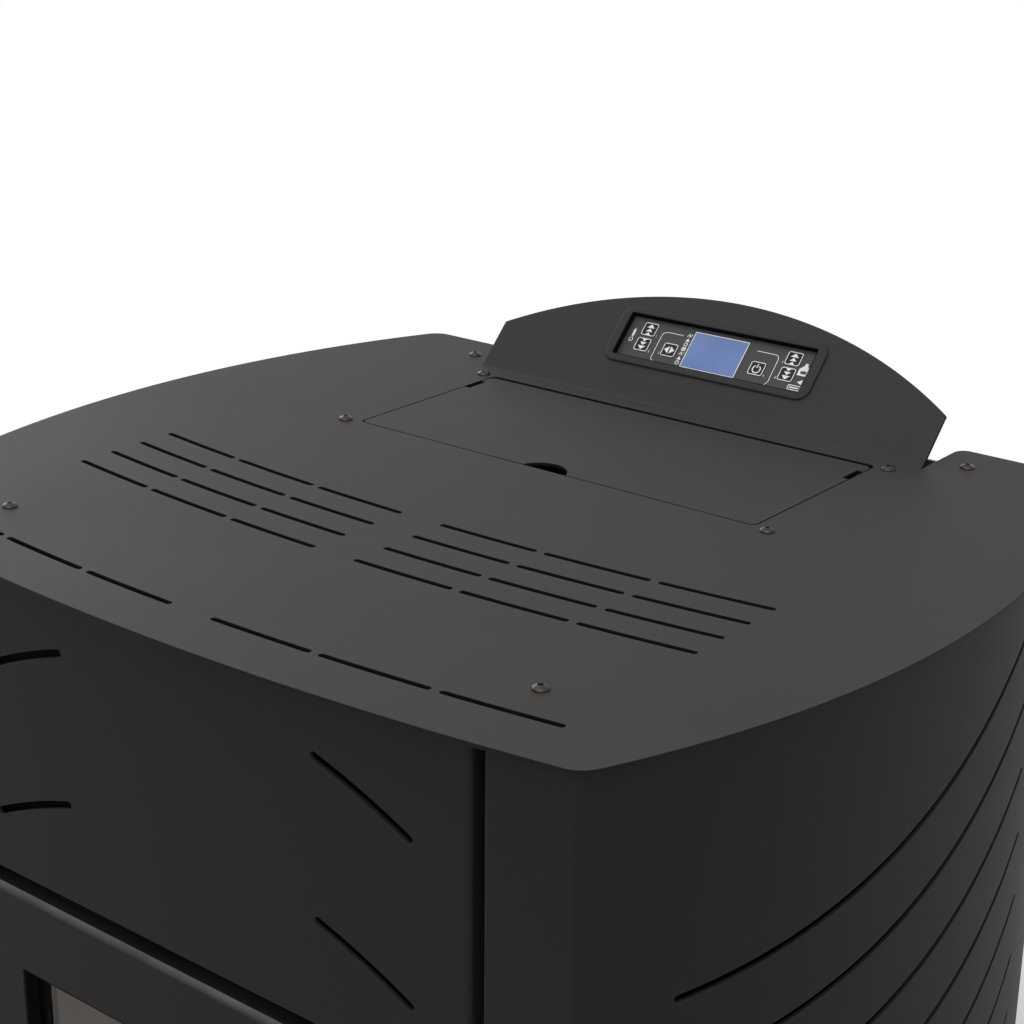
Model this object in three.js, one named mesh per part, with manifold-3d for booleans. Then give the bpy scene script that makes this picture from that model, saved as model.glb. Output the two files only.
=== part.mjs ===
// Pellet stove: a free-standing room heater that burns wood pellets.
// Sheet-steel casing under a curved top plate whose rear edge is bent up into a control console.
// Inside: hopper, inclined auger, burn pot, welded firebox, tube heat exchanger and two blowers.
// Millimetres, +Z up, the front faces -Y. Pieces are laid out from the top plate's front edge (y = 0)
// and the floor (z = 0), and one group then centres the stove on its own depth.

import * as THREE from 'three';
import { mergeVertices } from 'three/addons/utils/BufferGeometryUtils.js';
import Module from 'manifold-3d';

const wasm = await Module();
wasm.setup();

// ---------------------------------------------------------------- driving dimensions

// Clearances
const seatGap = 0.3;          // between a piece and what it is fixed to
const runningGap = 0.25;      // radial, between a pin and its bore
const overcut = 1;            // how far a cutter runs past the face that it opens
const lap = 1;                // how far one piece of a welded body runs into the next

// Facets of round parts
const shaftSides = 14;
const ductSides = 20;
const scrollSides = 24;

// Top plate, one sheet with the console
const plateTop = 945;
const plateThickness = 2;
const plateDepth = 468;
const plateHalfWidth = 280;
const plateSideRadius = 520;
const plateFrontRadius = 1475;
const plateCornerSize = 8;
const plateWidestAt = 241.5;

// Console, the plate's rear edge bent up and leaning back
const bendLine = 424.3;
const bendRadius = 2.5;
const consoleRise = 45.5;         // degrees above the horizontal
const consoleHalfWidth = 155;
const consoleShoulder = 33.8;     // height of the side edges, along the sheet
const consoleHeight = 77.4;       // height of the middle, along the sheet
const notchCorner = 7;
const notchKerf = 0.4;            // the cut between the console's side edge and the plate
const bendOverlap = 6;            // flat strip ahead of the bend that is still one with the plate

// Vent slots in the top plate
const ventWidth = 3.5;
const ventLength = 60;
const ventBridge = 4;
const ventCentreGap = 26;
const ventsPerSide = 3;
const frontVentRow = 32.2;
const rearVentRow = 125.5;
const rearVentPitch = 21.05;
const rearVentRows = 4;

// Screws that hold the top plate: the plate has their holes
const plateScrewHole = 2.2;
const plateScrews = [[143.2, 286.4], [171.5, 67.3], [142, 410.3], [173.9, 440.5]];

// Hopper lid
const lidHalfWidth = 133.6;
const lidFront = 289.4;
const lidBack = 407.9;
const lidGap = 0.8;
const lidRearGap = 2.5;
const lidCorner = 4;
const fingerNotchRadius = 15;
const fingerNotchSetback = 4;
const lidTabLength = 16;
const lidTabInset = 3.6;
const lidEarGap = 1.6;            // between the lid's side edge and the plate's ear
const earTipRadius = 5;
const lidAxisY = 390;
const lidAxisDrop = 9;            // below the plate's top face
const lidPinRadius = 2;
const lidPinLength = 12.6;
const lidPinOverhang = 1;

// Display unit on the console, in the console's own plane (h is measured up the sheet)
const bezelHalfWidth = 70.6;
const bezelLow = 23.6;
const bezelHigh = 61.5;
const bezelCorner = 9;
const bezelProud = 1.6;
const bezelDepth = 9;
const bezelLip = 1.4;             // thickness of its sleeve in the console's window
const rimLap = 0.4;
const keypadHalfWidth = 66;
const keypadLow = 29;
const keypadHigh = 57.5;
const keypadCorner = 3;
const keypadSink = 0.3;           // keypad face below the console sheet's face
const keypadThickness = 1.6;
const lcdHalfWidth = 18.5;
const lcdLow = 30.2;
const lcdHigh = 54.7;
const lcdSink = 0.1;
const keyWidth = 9.4;
const keyHeight = 8.6;
const keyThickness = 2;
const keyCorner = 1.4;
const keyTravel = 0.5;
const keyProud = 0.25;
const keyPlaces = {
  key_left_up: [-52.3, 49.8],
  key_left_down: [-52.3, 39],
  key_menu: [-32, 38.9],
  key_power: [29.9, 39],
  key_right_up: [50.5, 50.1],
  key_right_down: [50.5, 39],
};
const displayBoardThickness = 1.6;
const housingHalfWidth = 74;
const housingLow = 18;
const housingHigh = 66;
const housingDepth = 18;
const housingWall = 1.6;
const cableExitHalfWidth = 8;
const cableExitDepths = [12, 5];  // behind the console sheet

// Casing sheets
const sheet = 2;
const faceY = 22.3;               // front faces of the panels and the door
const frontHalfWidth = 171.2;
const frontJoint = 6.3;           // upright joint between the front and the side panels
const panelReturn = 20;
const panelBend = 3;
const panelLipInset = 1;
const sidePanelInset = 5;         // behind the plate's edge
const sideRear = 460;
const sideRearReturn = 25;
const sideCornerSize = 6;
const backPanelSideGap = 6;
const backPanelTopGap = 4;
const backVentHeight = 8;
const backVents = [
  { x: [-70, 90], low: 62, pitch: 24, count: 5 },
  { x: [-90, 90], low: 700, pitch: 30, count: 5 },
];

// Curved slots in the side panels: one arc, stepped back and down
const sideSlotCount = 8;
const sideSlotWidth = 3.6;
const sideSlotRadius = 508;
const sideSlotCentre = [43.2, 389.2];       // y, and height above the plate's top
const sideSlotStep = [13, -36.9];
const sideSlotStart = 66;
const sideSlotEnd = 327;
const sideSlotEndStep = 7.5;

// Curved slots in the front panel
const frontSlotWidth = 4;
const frontSlotRadius = 360;
const frontSlotInner = [82, 40.8];          // half width, and depth below the plate's top
const frontSlotOuter = [140, 63.5];
const frontSlotPitch = 81;

// Heights of the front, from the floor
const upperPanelLow = 768.2;
const doorHigh = 759.7;
const doorLow = 330;
const drawerFrontHigh = 321.7;
const drawerFrontLow = 249.7;
const lowerPanelHigh = 241.4;
const baseTop = 24;
const baseThickness = 3;

// Door
const doorThickness = 14;
const doorCorner = 4;
const doorBevel = 2;
const windowHalfWidth = 127;
const windowHigh = 707;
const windowLow = 392;
const windowCorner = 8;
const glassLap = 9;
const glassThickness = 4;
const glassSink = 1.2;            // the retainer's room behind the glass, in the door's rebate
const gasketHalfWidth = 144;
const gasketMargin = 8;           // between the gasket and the door's upper end
const gasketLowMargin = 12;
const gasketWidth = 7;
const gasketCorner = 16;
const doorAxisX = -160;
const doorAxisY = 30;
const doorPinRadius = 4;
const doorPinDepth = 12;
const retainerThickness = 3;
const retainerLip = 2;            // how far it shows inside the window's edge
const lugReach = 9;
const lugThickness = 4;
const lugGap = 2.5;
const handleX = 153;
const handleZ = 545;
const handleShaftRadius = 5;
const leverLength = 96;
const leverWidth = 16;
const leverThickness = 8;
const leverProud = 19.3;
const leverTaper = 2;
const leverBevel = 1.5;
const camLength = 22;
const camWidth = 8;
const camThickness = 4;
const camHub = handleShaftRadius + 1.75;
const camFront = 38.4;            // the cam turns between the door's back and the firebox flange
const keeperWidth = 7;
const keeperTongue = 1.5;
const keeperLow = 532;
const keeperPostHigh = 541;
const keeperHigh = 556;

// Firebox, welded
const boxHalfWidth = 144;
const boxFront = 45;
const boxBack = 239;
const boxTop = 884;
const boxWall = 4;
const boxOpeningHalfWidth = 132;
const boxOpeningHigh = 742;
const boxOpeningLow = 352;
const flangeHalfWidth = 168;
const fireFloorTop = 340;
const drawerFloorTop = 250;
const smokeChamberFloor = 755;
const ledgeWidth = 12;
const ashSlotMargins = { airBox: 8, front: 16, back: 30 };
const smokePortX = [-130, -74];
const smokePortZ = [262, 322];
const baffleRearGap = 60;
const baffleThickness = 5;

// Ash drawer
const drawerWall = 1.6;
const drawerSideGap = 3;
const drawerBackGap = 4;
const drawerRise = 0.5;           // its floor above the firebox's lowest floor
const drawerBowHalfWidth = 48;
const drawerBowReach = 18;
const drawerBowBar = [6, 8];      // depth and width of the bow's bar
const drawerBowZ = [280, 292];
const drawerBowCorners = [6, 3];

// Heat exchanger tubes
const tubeRadius = 18;
const tubeWall = 2;
const tubesPerRow = 4;
const tubePitch = 62;
const tubeSides = 10;
const tubeRows = [800, 846];
const exchangerHalfWidth = 120;
const exchangerLow = 774;
const exchangerHigh = 872;
const headerLap = 8;
const headerThickness = 3;

// Fire bed
const firebackThickness = 18;
const firebackTop = 740;
const flutePitch = 24;
const fluteWidth = 12;
const fluteDepth = 4;
const fluteEndMargin = 20;
const fluteSideMargin = 4;
const fluteChuteMargin = 6;
const potHalfWidth = 45;
const potFront = 115;
const potBack = 195;
const potWall = 5;
const potTop = 397;
const potBottom = 352;
const potFlange = 6;
const potCorner = 12;
const potAirHoles = { columns: 4, rows: 3, pitchX: 16, pitchY: 20, radius: 2.6 };
const airBoxHalfWidth = 58;
const airBoxFront = 100;
const airBoxTop = 391;
const ductWall = 2;               // folded ducts: air box, chute, collars, blower housings
const airPipeRadius = 24;
const airPipeWall = 2;
const airPipeZ = 366;
const airPipeEnd = sideRear + 30;
const igniterRadius = 5;
const igniterX = 38;
const igniterZ = 372;
const igniterEnd = boxBack + 31;
const igniterNutRadius = 9;
const igniterNutEnd = boxBack + 8;
const igniterHole = { x: 32, radius: 3, depth: 16 };      // in the burn pot's rear wall

// Hopper and feed
const hopperHalfWidth = 200;
const hopperFront = 248;
const hopperBack = 414;
const hopperBend = 720;
const hopperWall = 1.6;
const spoutHalfWidth = 29;
const spoutFront = 322;
const spoutBack = 368;
const spoutHeight = 26;
const collarHeight = 4;           // collars of the feed tube, past the tube itself
const grilleZ = 880;
const grilleBar = 3;
const grilleThickness = 4;
const grilleColumns = 7;
const grilleRows = 3;
const augerLow = [374, 500];      // y, z of the auger's lower end
const augerLength = 156;
const augerTilt = 45;
const augerTubeRadius = 30;
const augerTubeWall = 2;
const augerTubeFlange = [38, 4];  // radius and thickness
const augerTubeEnd = 3;           // thickness of the tube's upper end
const augerShaftEnds = [-12, augerLength - 5];
const flightRoot = 6.5;
const outletRise = [50, 60];      // how far the outlet collar and its bore run up into the tube
const flightStart = 10;
const gearboxHalf = 32;
const gearboxLength = 26;
const gearboxCorner = 8;
const gearmotorRadius = 26;
const gearmotorLength = 40;
const augerSocketDepth = 16;
const flightRadius = 25;
const flightPitch = 38;
const flightTurns = 3.5;
const flightThickness = 3;
const augerShaftRadius = 8;
const chuteFront = 262;
const chuteBack = 302;
const chuteHalfWidth = 22;
const chuteEnd = 185;

// Smoke blower, its motor and the flue collar
const smokeFanY = boxBack + 86;
const smokeFanZ = 290;
const smokeFanRadius = 75;
const smokeFanInner = -125;       // the side that faces the middle of the stove
const smokeFanWidth = 55;
const smokeRotorRadius = 64;
const smokeInletRadius = 30;
const smokeOutletRadius = 24;
const smokeDuctHeight = 84;
const smokeDuctEnd = sideRear - 35;
const smokePortLap = 4;           // of its inlet duct, round the firebox's smoke port
const smokeBlades = { count: 10, length: 32, thickness: 1.6, from: 8, to: 63 };
const smokeShaftRadius = 4.5;
const smokeShaftHole = 6;
const smokeShaftReach = 16;       // past the rotor's disc, into the motor
const smokeBossRadius = 10;
const smokeBossLength = 14;
const smokeRotorGap = 6;          // between the rotor's disc and the housing's outer side
const smokeRotorDisc = 2;
const smokeMotorPlate = [42, 5];  // radius and thickness
const smokeMotorRadius = 32;
const smokeMotorLength = 48;
const flueRadius = 40;
const flueWall = 2;
const fluePlate = 3;              // closed end that meets the blower's outlet
const flueEnd = sideRear + 48;

// Room air blower
const roomFanX = [-62, 122];
const roomFanY = 345;
const roomRotorRadius = 50;
const roomFanRadius = 66;
const roomBlades = { count: 12, thickness: 1.4, chord: 9, lean: 35, radius: 45 };
const roomShaftRadius = 5;
const roomBearingRadius = 11;
const roomBearingArm = 4;         // half width of the arms that carry the bearings
const roomBearingProud = 3;
const roomShaftProud = 2.5;
const roomDuctHeight = 26;        // of its outlet, above the scroll
const roomDuctSetback = 8;        // of the outlet's rear wall from the shaft
const roomEyeRadius = 42;
const roomFeet = [40, 3];         // half depth and thickness
const roomRotorEndGap = 8;
const roomRingDepth = 3;
const roomDisc = [46, 2];         // radius and thickness

// Electric parts at the back
const inletX = plateHalfWidth - 115;
const inletZ = 110;
const inletHalfWidth = 23.5;
const inletHalfHeight = 28.5;
const inletRim = 3.5;             // the flange's overhang on the back panel
const inletOpeningGap = 0.5;
const inletProud = 4;             // the flange's face behind the side panels' rear edges
const inletDepth = 26;
const inletRecess = 18;
const socketHalfWidth = 12;
const socketZ = [-24, -8];        // from the inlet's middle
const rockerWindowHalfWidth = 14;
const rockerWindowZ = [4, 24];
const rockerHalf = 8.6;
const rockerSideGap = 0.5;
const boardX = inletX + 13;
const boardY = [sideRear - 204, sideRear - 86];
const boardZ = [60, 230];
const boardThickness = 1.6;
const trayMargins = { behind: 8, ends: 6, above: 10, foot: 30 };
const boardPosts = { insetY: 8, insetZ: 10, radius: 3 };
const solderLap = 0.6;            // how deep a part on the board sits in it
const boardParts = [              // places along and up the board, and how far each stands off
  { y: [14, 44], z: [20, 55], high: 20.4 },
  { y: [64, 104], z: [30, 50], high: 12.4 },
  { y: [24, 54], z: [90, 120], high: 8.4 },
  { y: [74, 99], z: [100, 125], high: 16.4 },
];
const footPlaces = { front: [190, 75], rear: [185, 400] };
const footRadius = 20;
const footHeight = 21;
const footPadHeight = 7;
const footNeckRadius = 9;
const footNeckStart = 12;
const footStudRadius = 4;
const footStudLength = 22;

// Heights where the inclined feed tube meets the hopper's spout above and the chute below
const augerFall = Math.tan(augerTilt * Math.PI / 180);
const augerReach = augerTubeRadius / Math.cos(augerTilt * Math.PI / 180);
const spoutBottom = augerLow[1] + (augerLow[0] - spoutFront) * augerFall + augerReach + collarHeight;
const spoutTop = spoutBottom + spoutHeight;
const chuteTop = augerLow[1] + (augerLow[0] - chuteBack) * augerFall - augerReach - collarHeight * 4;

// Everything behind the plate's edge counts in the stove's depth
const overallDepth = flueEnd;

// ---------------------------------------------------------------- finishes

const finishes = {
  topPaint: { color: 0x4b4845, roughness: 0.55, metalness: 0.35 },
  casePaint: { color: 0x2c2b2a, roughness: 0.5, metalness: 0.35 },
  stovePaint: { color: 0x232323, roughness: 0.75, metalness: 0.3 },
  bareSteel: { color: 0x9a9c9e, roughness: 0.45, metalness: 0.9 },
  galvanised: { color: 0x8d9193, roughness: 0.5, metalness: 0.8 },
  castIron: { color: 0x35332f, roughness: 0.85, metalness: 0.5 },
  vermiculite: { color: 0x8a7a66, roughness: 0.95, metalness: 0 },
  glass: { color: 0x3a3430, roughness: 0.08, metalness: 0, transparent: true, opacity: 0.35 },
  gasket: { color: 0x2b2a28, roughness: 1, metalness: 0 },
  blackPlastic: { color: 0x1d1d1e, roughness: 0.45, metalness: 0 },
  keyPrint: { color: 0x2a2a2b, roughness: 0.4, metalness: 0 },
  lcdBlue: { color: 0x6f87bd, roughness: 0.25, metalness: 0 },
  boardGreen: { color: 0x1f5a3a, roughness: 0.6, metalness: 0.1 },
  foot: { color: 0x202020, roughness: 0.7, metalness: 0 },
};

// ---------------------------------------------------------------- shapes and solids

const degrees = Math.PI / 180;

// Closed three.js geometry to a solid that can be cut and joined
function solid(geometry, matrix) {
  const plain = geometry.index ? geometry.toNonIndexed() : geometry.clone();
  for (const name of Object.keys(plain.attributes)) {
    if (name !== 'position') plain.deleteAttribute(name);
  }
  if (matrix) plain.applyMatrix4(matrix);
  const merged = mergeVertices(plain, 1e-4);
  const places = merged.attributes.position.array;
  const corners = merged.index.array;
  const kept = [];
  let volume = 0;
  const a = new THREE.Vector3();
  const b = new THREE.Vector3();
  const c = new THREE.Vector3();
  for (let i = 0; i < corners.length; i += 3) {
    const [p, q, r] = [corners[i], corners[i + 1], corners[i + 2]];
    if (p === q || q === r || r === p) continue;
    kept.push(p, q, r);
    a.fromArray(places, 3 * p);
    b.fromArray(places, 3 * q);
    c.fromArray(places, 3 * r);
    volume += a.dot(b.cross(c));
  }
  if (volume < 0) kept.reverse();
  const mesh = new wasm.Mesh({
    numProp: 3,
    vertProperties: new Float32Array(places),
    triVerts: new Uint32Array(kept),
  });
  return new wasm.Manifold(mesh);
}

function join(...solids) {
  return solids.reduce((whole, next) => whole.add(next));
}

function cut(body, ...tools) {
  return tools.reduce((left, tool) => left.subtract(tool), body);
}

// A box between two corners
function box(x0, x1, y0, y1, z0, z1) {
  const geometry = new THREE.BoxGeometry(x1 - x0, y1 - y0, z1 - z0);
  geometry.translate((x0 + x1) / 2, (y0 + y1) / 2, (z0 + z1) / 2);
  return solid(geometry);
}

// The same box on both sides of the stove's middle plane
function boxPair(x0, x1, y0, y1, z0, z1) {
  return join(box(x0, x1, y0, y1, z0, z1), box(-x1, -x0, y0, y1, z0, z1));
}

// A prism: `plane` tells which way the outline's own axes and its depth lie
const planes = {
  xy: new THREE.Matrix4(),
  xz: new THREE.Matrix4().makeBasis(
    new THREE.Vector3(1, 0, 0), new THREE.Vector3(0, 0, 1), new THREE.Vector3(0, -1, 0)),
  yz: new THREE.Matrix4().makeBasis(
    new THREE.Vector3(0, 1, 0), new THREE.Vector3(0, 0, 1), new THREE.Vector3(1, 0, 0)),
};

function prism(outline, plane, from, to, bevel = 0) {
  const shape = outline instanceof THREE.Shape ? outline : new THREE.Shape(outline);
  const geometry = new THREE.ExtrudeGeometry(shape, {
    depth: to - from - 2 * bevel,
    bevelEnabled: bevel > 0,
    bevelThickness: bevel,
    bevelSize: bevel,
    bevelOffset: -bevel,
    bevelSegments: 2,
    curveSegments: 6,
  });
  geometry.translate(0, 0, bevel);
  const start = plane === 'xz' ? -to : from;
  geometry.translate(0, 0, start);
  return solid(geometry, planes[plane]);
}

// Points on an arc
function arc(cx, cy, radius, fromDegrees, toDegrees, steps) {
  const points = [];
  for (let i = 0; i <= steps; i++) {
    const angle = (fromDegrees + (toDegrees - fromDegrees) * i / steps) * degrees;
    points.push(new THREE.Vector2(cx + radius * Math.cos(angle), cy + radius * Math.sin(angle)));
  }
  return points;
}

function point(x, y) {
  return new THREE.Vector2(x, y);
}

// A rounded corner between two lines or arcs, as a curve that starts and ends `size` from it
function blend(before, corner, after, steps) {
  return new THREE.QuadraticBezierCurve(before, corner, after).getPoints(steps);
}

function roundedRectangle(x0, x1, y0, y1, radius, steps = 3) {
  return [
    ...arc(x1 - radius, y0 + radius, radius, -90, 0, steps),
    ...arc(x1 - radius, y1 - radius, radius, 0, 90, steps),
    ...arc(x0 + radius, y1 - radius, radius, 90, 180, steps),
    ...arc(x0 + radius, y0 + radius, radius, 180, 270, steps),
  ];
}

// A ring-shaped outline: a rounded rectangle with another one as its hole
function frameShape(outer, inner) {
  const shape = new THREE.Shape(outer);
  shape.holes.push(new THREE.Path(inner));
  return shape;
}

// A round-ended slot along an arc, between two points of the arc given as angles
function arcSlot(cx, cy, radius, width, fromDegrees, toDegrees, steps) {
  const end = width / 2;
  const trim = end / radius / degrees;
  const a = fromDegrees + trim;
  const b = toDegrees - trim;
  const capAt = (angle, turn) => {
    const x = cx + radius * Math.cos(angle * degrees);
    const y = cy + radius * Math.sin(angle * degrees);
    return arc(x, y, end, angle + turn, angle + turn + 180, 2).slice(1, -1);
  };
  return [
    ...arc(cx, cy, radius + end, a, b, steps),
    ...capAt(b, 0),
    ...arc(cx, cy, radius - end, b, a, steps),
    ...capAt(a, 180),
  ];
}

// A straight round bar between two points
function rod(from, to, radius, sides = 12) {
  const start = new THREE.Vector3(...from);
  const end = new THREE.Vector3(...to);
  const length = start.distanceTo(end);
  const geometry = new THREE.CylinderGeometry(radius, radius, length, sides);
  const turn = new THREE.Quaternion().setFromUnitVectors(
    new THREE.Vector3(0, 1, 0), end.clone().sub(start).normalize());
  const middle = start.clone().add(end).multiplyScalar(0.5);
  const matrix = new THREE.Matrix4().compose(middle, turn, new THREE.Vector3(1, 1, 1));
  return solid(geometry, matrix);
}

// A straight pipe, open at both ends
function pipe(from, to, radius, wall, sides = ductSides) {
  const start = new THREE.Vector3(...from);
  const end = new THREE.Vector3(...to);
  const past = end.clone().sub(start).normalize();
  const bore = rod(start.clone().sub(past).toArray(), end.clone().add(past).toArray(), radius - wall, sides);
  return cut(rod(from, to, radius, sides), bore);
}

// A turned solid about the local z axis, from radius-height pairs that start and end on the axis
function turned(profile, sides, matrix) {
  const points = profile.map(([radius, height]) => point(radius, height));
  const geometry = new THREE.LatheGeometry(points, sides);
  geometry.rotateX(Math.PI / 2);
  return solid(geometry, matrix);
}

// A funnel piece between a lower and an upper rectangle
function taper(lower, upper) {
  const geometry = new THREE.BoxGeometry(1, 1, 1);
  const places = geometry.attributes.position;
  for (let i = 0; i < places.count; i++) {
    const ring = places.getZ(i) < 0 ? lower : upper;
    const x = places.getX(i) < 0 ? ring.x[0] : ring.x[1];
    const y = places.getY(i) < 0 ? ring.y[0] : ring.y[1];
    places.setXYZ(i, x, y, ring.z);
  }
  return solid(geometry);
}

function mirrored(body) {
  return body.mirror([1, 0, 0]);
}

// ---------------------------------------------------------------- the assembly

const part = new THREE.Group();
const stove = new THREE.Group();
stove.position.y = -overallDepth / 2;
part.add(stove);

const consoleFrame = new THREE.Group();
consoleFrame.position.set(0, bendLine, plateTop);
consoleFrame.rotation.x = consoleRise * degrees;
stove.add(consoleFrame);

const augerFrame = new THREE.Group();
augerFrame.position.set(0, augerLow[0], augerLow[1]);
augerFrame.rotation.x = augerTilt * degrees;
stove.add(augerFrame);

function matrixOf(group) {
  group.updateMatrix();
  return group.matrix;
}

function addPiece(name, body, finish, group = stove) {
  const { vertProperties, triVerts } = body.getMesh();
  const geometry = new THREE.BufferGeometry();
  geometry.setAttribute('position', new THREE.BufferAttribute(vertProperties, 3));
  geometry.setIndex(new THREE.BufferAttribute(triVerts, 1));
  geometry.computeVertexNormals();
  const material = new THREE.MeshStandardMaterial({ ...finish, flatShading: true });
  const mesh = new THREE.Mesh(geometry, material);
  mesh.name = name;
  group.add(mesh);
}

const plateBottom = plateTop - plateThickness;
const caseTop = plateBottom - seatGap;

// ---------------------------------------------------------------- top plate and console

// Half width of a curve that runs `inset` inside the plate's side edge
function sideHalfWidth(y, inset = 0) {
  const radius = plateSideRadius - inset;
  const away = y - plateWidestAt;
  return plateHalfWidth - inset - radius + Math.sqrt(radius * radius - away * away);
}

function frontEdge(x) {
  return plateFrontRadius - Math.sqrt(plateFrontRadius * plateFrontRadius - x * x);
}

// Where the front edge meets the side edge
function frontCorner() {
  let y = 0;
  for (let i = 0; i < 20; i++) y = frontEdge(sideHalfWidth(y));
  return point(sideHalfWidth(y), y);
}

// The plate's right half, from the front's middle to the back's middle
function plateHalfOutline() {
  const corner = frontCorner();
  const frontSteps = 5;
  const sideSteps = 12;
  const size = plateCornerSize;
  const points = [];
  const frontEnd = corner.x - size;
  for (let i = 0; i < frontSteps; i++) {
    const x = frontEnd * i / frontSteps;
    points.push(point(x, frontEdge(x)));
  }
  const sideStart = corner.y + size;
  const sideEnd = plateDepth - size;
  points.push(...blend(
    point(frontEnd, frontEdge(frontEnd)), corner, point(sideHalfWidth(sideStart), sideStart), 4));
  for (let i = 1; i < sideSteps; i++) {
    const y = sideStart + (sideEnd - sideStart) * i / sideSteps;
    points.push(point(sideHalfWidth(y), y));
  }
  const rearX = sideHalfWidth(plateDepth);
  points.push(...blend(
    point(sideHalfWidth(sideEnd), sideEnd), point(rearX, plateDepth), point(rearX - size, plateDepth), 4));
  const notchX = consoleHalfWidth + notchKerf;
  points.push(...arc(notchX + notchCorner, plateDepth - notchCorner, notchCorner, 90, 180, 3));
  points.push(point(notchX, bendLine - bendRadius));
  return points;
}

function withMirror(half) {
  const other = half.filter((p) => Math.abs(p.x) > 1e-6).map((p) => point(-p.x, p.y)).reverse();
  return [...half, ...other];
}

function ventRow(y) {
  const slots = [];
  for (const side of [-1, 1]) {
    for (let i = 0; i < ventsPerSide; i++) {
      const near = ventCentreGap / 2 + i * (ventLength + ventBridge);
      const ends = [side * near, side * (near + ventLength)].sort((a, b) => a - b);
      const [from, to] = ends.map((x) => Math.asin(x / plateFrontRadius) / degrees - 90);
      slots.push(arcSlot(0, y + plateFrontRadius, plateFrontRadius, ventWidth, from, to, 2));
    }
  }
  return slots;
}

const consoleTopRadius = (consoleHalfWidth ** 2 + (consoleHeight - consoleShoulder) ** 2)
  / (2 * (consoleHeight - consoleShoulder));

// The console sheet's outline in its own plane, running down past the bend
function consoleOutline() {
  const past = -20;
  const half = Math.asin(consoleHalfWidth / consoleTopRadius) / degrees;
  return [
    point(-consoleHalfWidth, past),
    point(consoleHalfWidth, past),
    ...arc(0, consoleHeight - consoleTopRadius, consoleTopRadius, 90 - half, 90 + half, 16),
  ];
}

// The bent strip seen from the side: flat end, bend, and the leaning sheet
function bentStrip() {
  const rise = consoleRise * degrees;
  const start = bendLine - bendRadius * Math.tan(rise / 2);
  const centreZ = plateTop + bendRadius;
  const tip = (offset) => point(
    bendLine + consoleHeight * Math.cos(rise) + offset * Math.sin(rise),
    plateTop + consoleHeight * Math.sin(rise) - offset * Math.cos(rise));
  const flatStart = start - bendOverlap;
  return [
    point(flatStart, plateBottom),
    ...arc(start, centreZ, bendRadius + plateThickness, -90, -90 + consoleRise, 4),
    tip(plateThickness),
    tip(0),
    ...arc(start, centreZ, bendRadius, -90 + consoleRise, -90, 4),
    point(flatStart, plateTop),
  ];
}

const lidAxisZ = plateTop - lidAxisDrop;
const lidTabX = lidHalfWidth - lidTabInset;
const lidBracketX = lidHalfWidth + lidGap + lidEarGap;

// A sheet ear that hangs from the plate or the lid and holds the lid's pin
function pinEar(x, hole) {
  const outline = new THREE.Shape([
    point(lidAxisY - lidTabLength / 2, plateTop - plateThickness / 2),
    point(lidAxisY - lidTabLength / 2, lidAxisZ),
    ...arc(lidAxisY, lidAxisZ, earTipRadius, 190, 350, 4),
    point(lidAxisY + lidTabLength / 2, lidAxisZ),
    point(lidAxisY + lidTabLength / 2, plateTop - plateThickness / 2),
  ]);
  const ear = prism(outline, 'yz', x, x + plateThickness);
  const ends = [x - overcut, x + plateThickness + overcut];
  return cut(ear, rod([ends[0], lidAxisY, lidAxisZ], [ends[1], lidAxisY, lidAxisZ], hole));
}

function topPlate() {
  let plate = prism(withMirror(plateHalfOutline()), 'xy', plateBottom, plateTop);
  const rows = [frontVentRow];
  for (let i = 0; i < rearVentRows; i++) rows.push(rearVentRow + i * rearVentPitch);
  const slots = rows.flatMap(ventRow);
  const cutters = slots.map((outline) => prism(outline, 'xy', plateBottom - overcut, plateTop + overcut));
  const lidOpening = roundedRectangle(
    -lidHalfWidth - lidGap, lidHalfWidth + lidGap, lidFront - lidGap, lidBack + lidRearGap, lidCorner);
  cutters.push(prism(lidOpening, 'xy', plateBottom - overcut, plateTop + overcut));
  for (const [x, y] of plateScrews) {
    for (const side of [-1, 1]) {
      const ends = [plateBottom - overcut, plateTop + overcut];
      cutters.push(rod([side * x, y, ends[0]], [side * x, y, ends[1]], plateScrewHole, 8));
    }
  }
  plate = cut(plate, ...cutters);
  const strip = prism(bentStrip(), 'yz', -consoleHalfWidth, consoleHalfWidth);
  const face = matrixOf(consoleFrame);
  const reach = 40;
  const throughSheet = (outline) => {
    const shape = new THREE.Shape(outline);
    const geometry = new THREE.ExtrudeGeometry(shape, { depth: 2 * reach, bevelEnabled: false });
    return solid(geometry.translate(0, 0, -reach), face);
  };
  const window = roundedRectangle(
    -keypadHalfWidth - bezelLip - seatGap, keypadHalfWidth + bezelLip + seatGap,
    keypadLow - bezelLip - seatGap, keypadHigh + bezelLip + seatGap, keypadCorner + bezelLip);
  const upright = cut(strip.intersect(throughSheet(consoleOutline())), throughSheet(window));
  const ears = pinEar(lidBracketX, lidPinRadius + runningGap);
  return join(plate, upright, ears, mirrored(ears));
}

// ---------------------------------------------------------------- hopper lid

function hopperLid() {
  const low = plateBottom;
  const outline = roundedRectangle(-lidHalfWidth, lidHalfWidth, lidFront, lidBack, lidCorner);
  const notchY = lidFront - fingerNotchSetback;
  const notch = rod(
    [0, notchY, low - overcut], [0, notchY, plateTop + overcut], fingerNotchRadius, scrollSides);
  const tabFront = lidAxisY - lidTabLength / 2;
  const tabBack = lidAxisY + lidTabLength / 2;
  const relief = boxPair(
    lidTabX, lidHalfWidth + overcut, tabFront, tabBack, low - overcut, plateTop + overcut);
  const lid = cut(prism(outline, 'xy', low, plateTop), notch, relief);
  const tab = pinEar(lidTabX - plateThickness, lidPinRadius + runningGap);
  const trimmed = tab.subtract(box(0, plateHalfWidth, 0, plateDepth, plateTop, plateTop + lidTabLength));
  return join(lid, trimmed, mirrored(trimmed));
}

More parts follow.
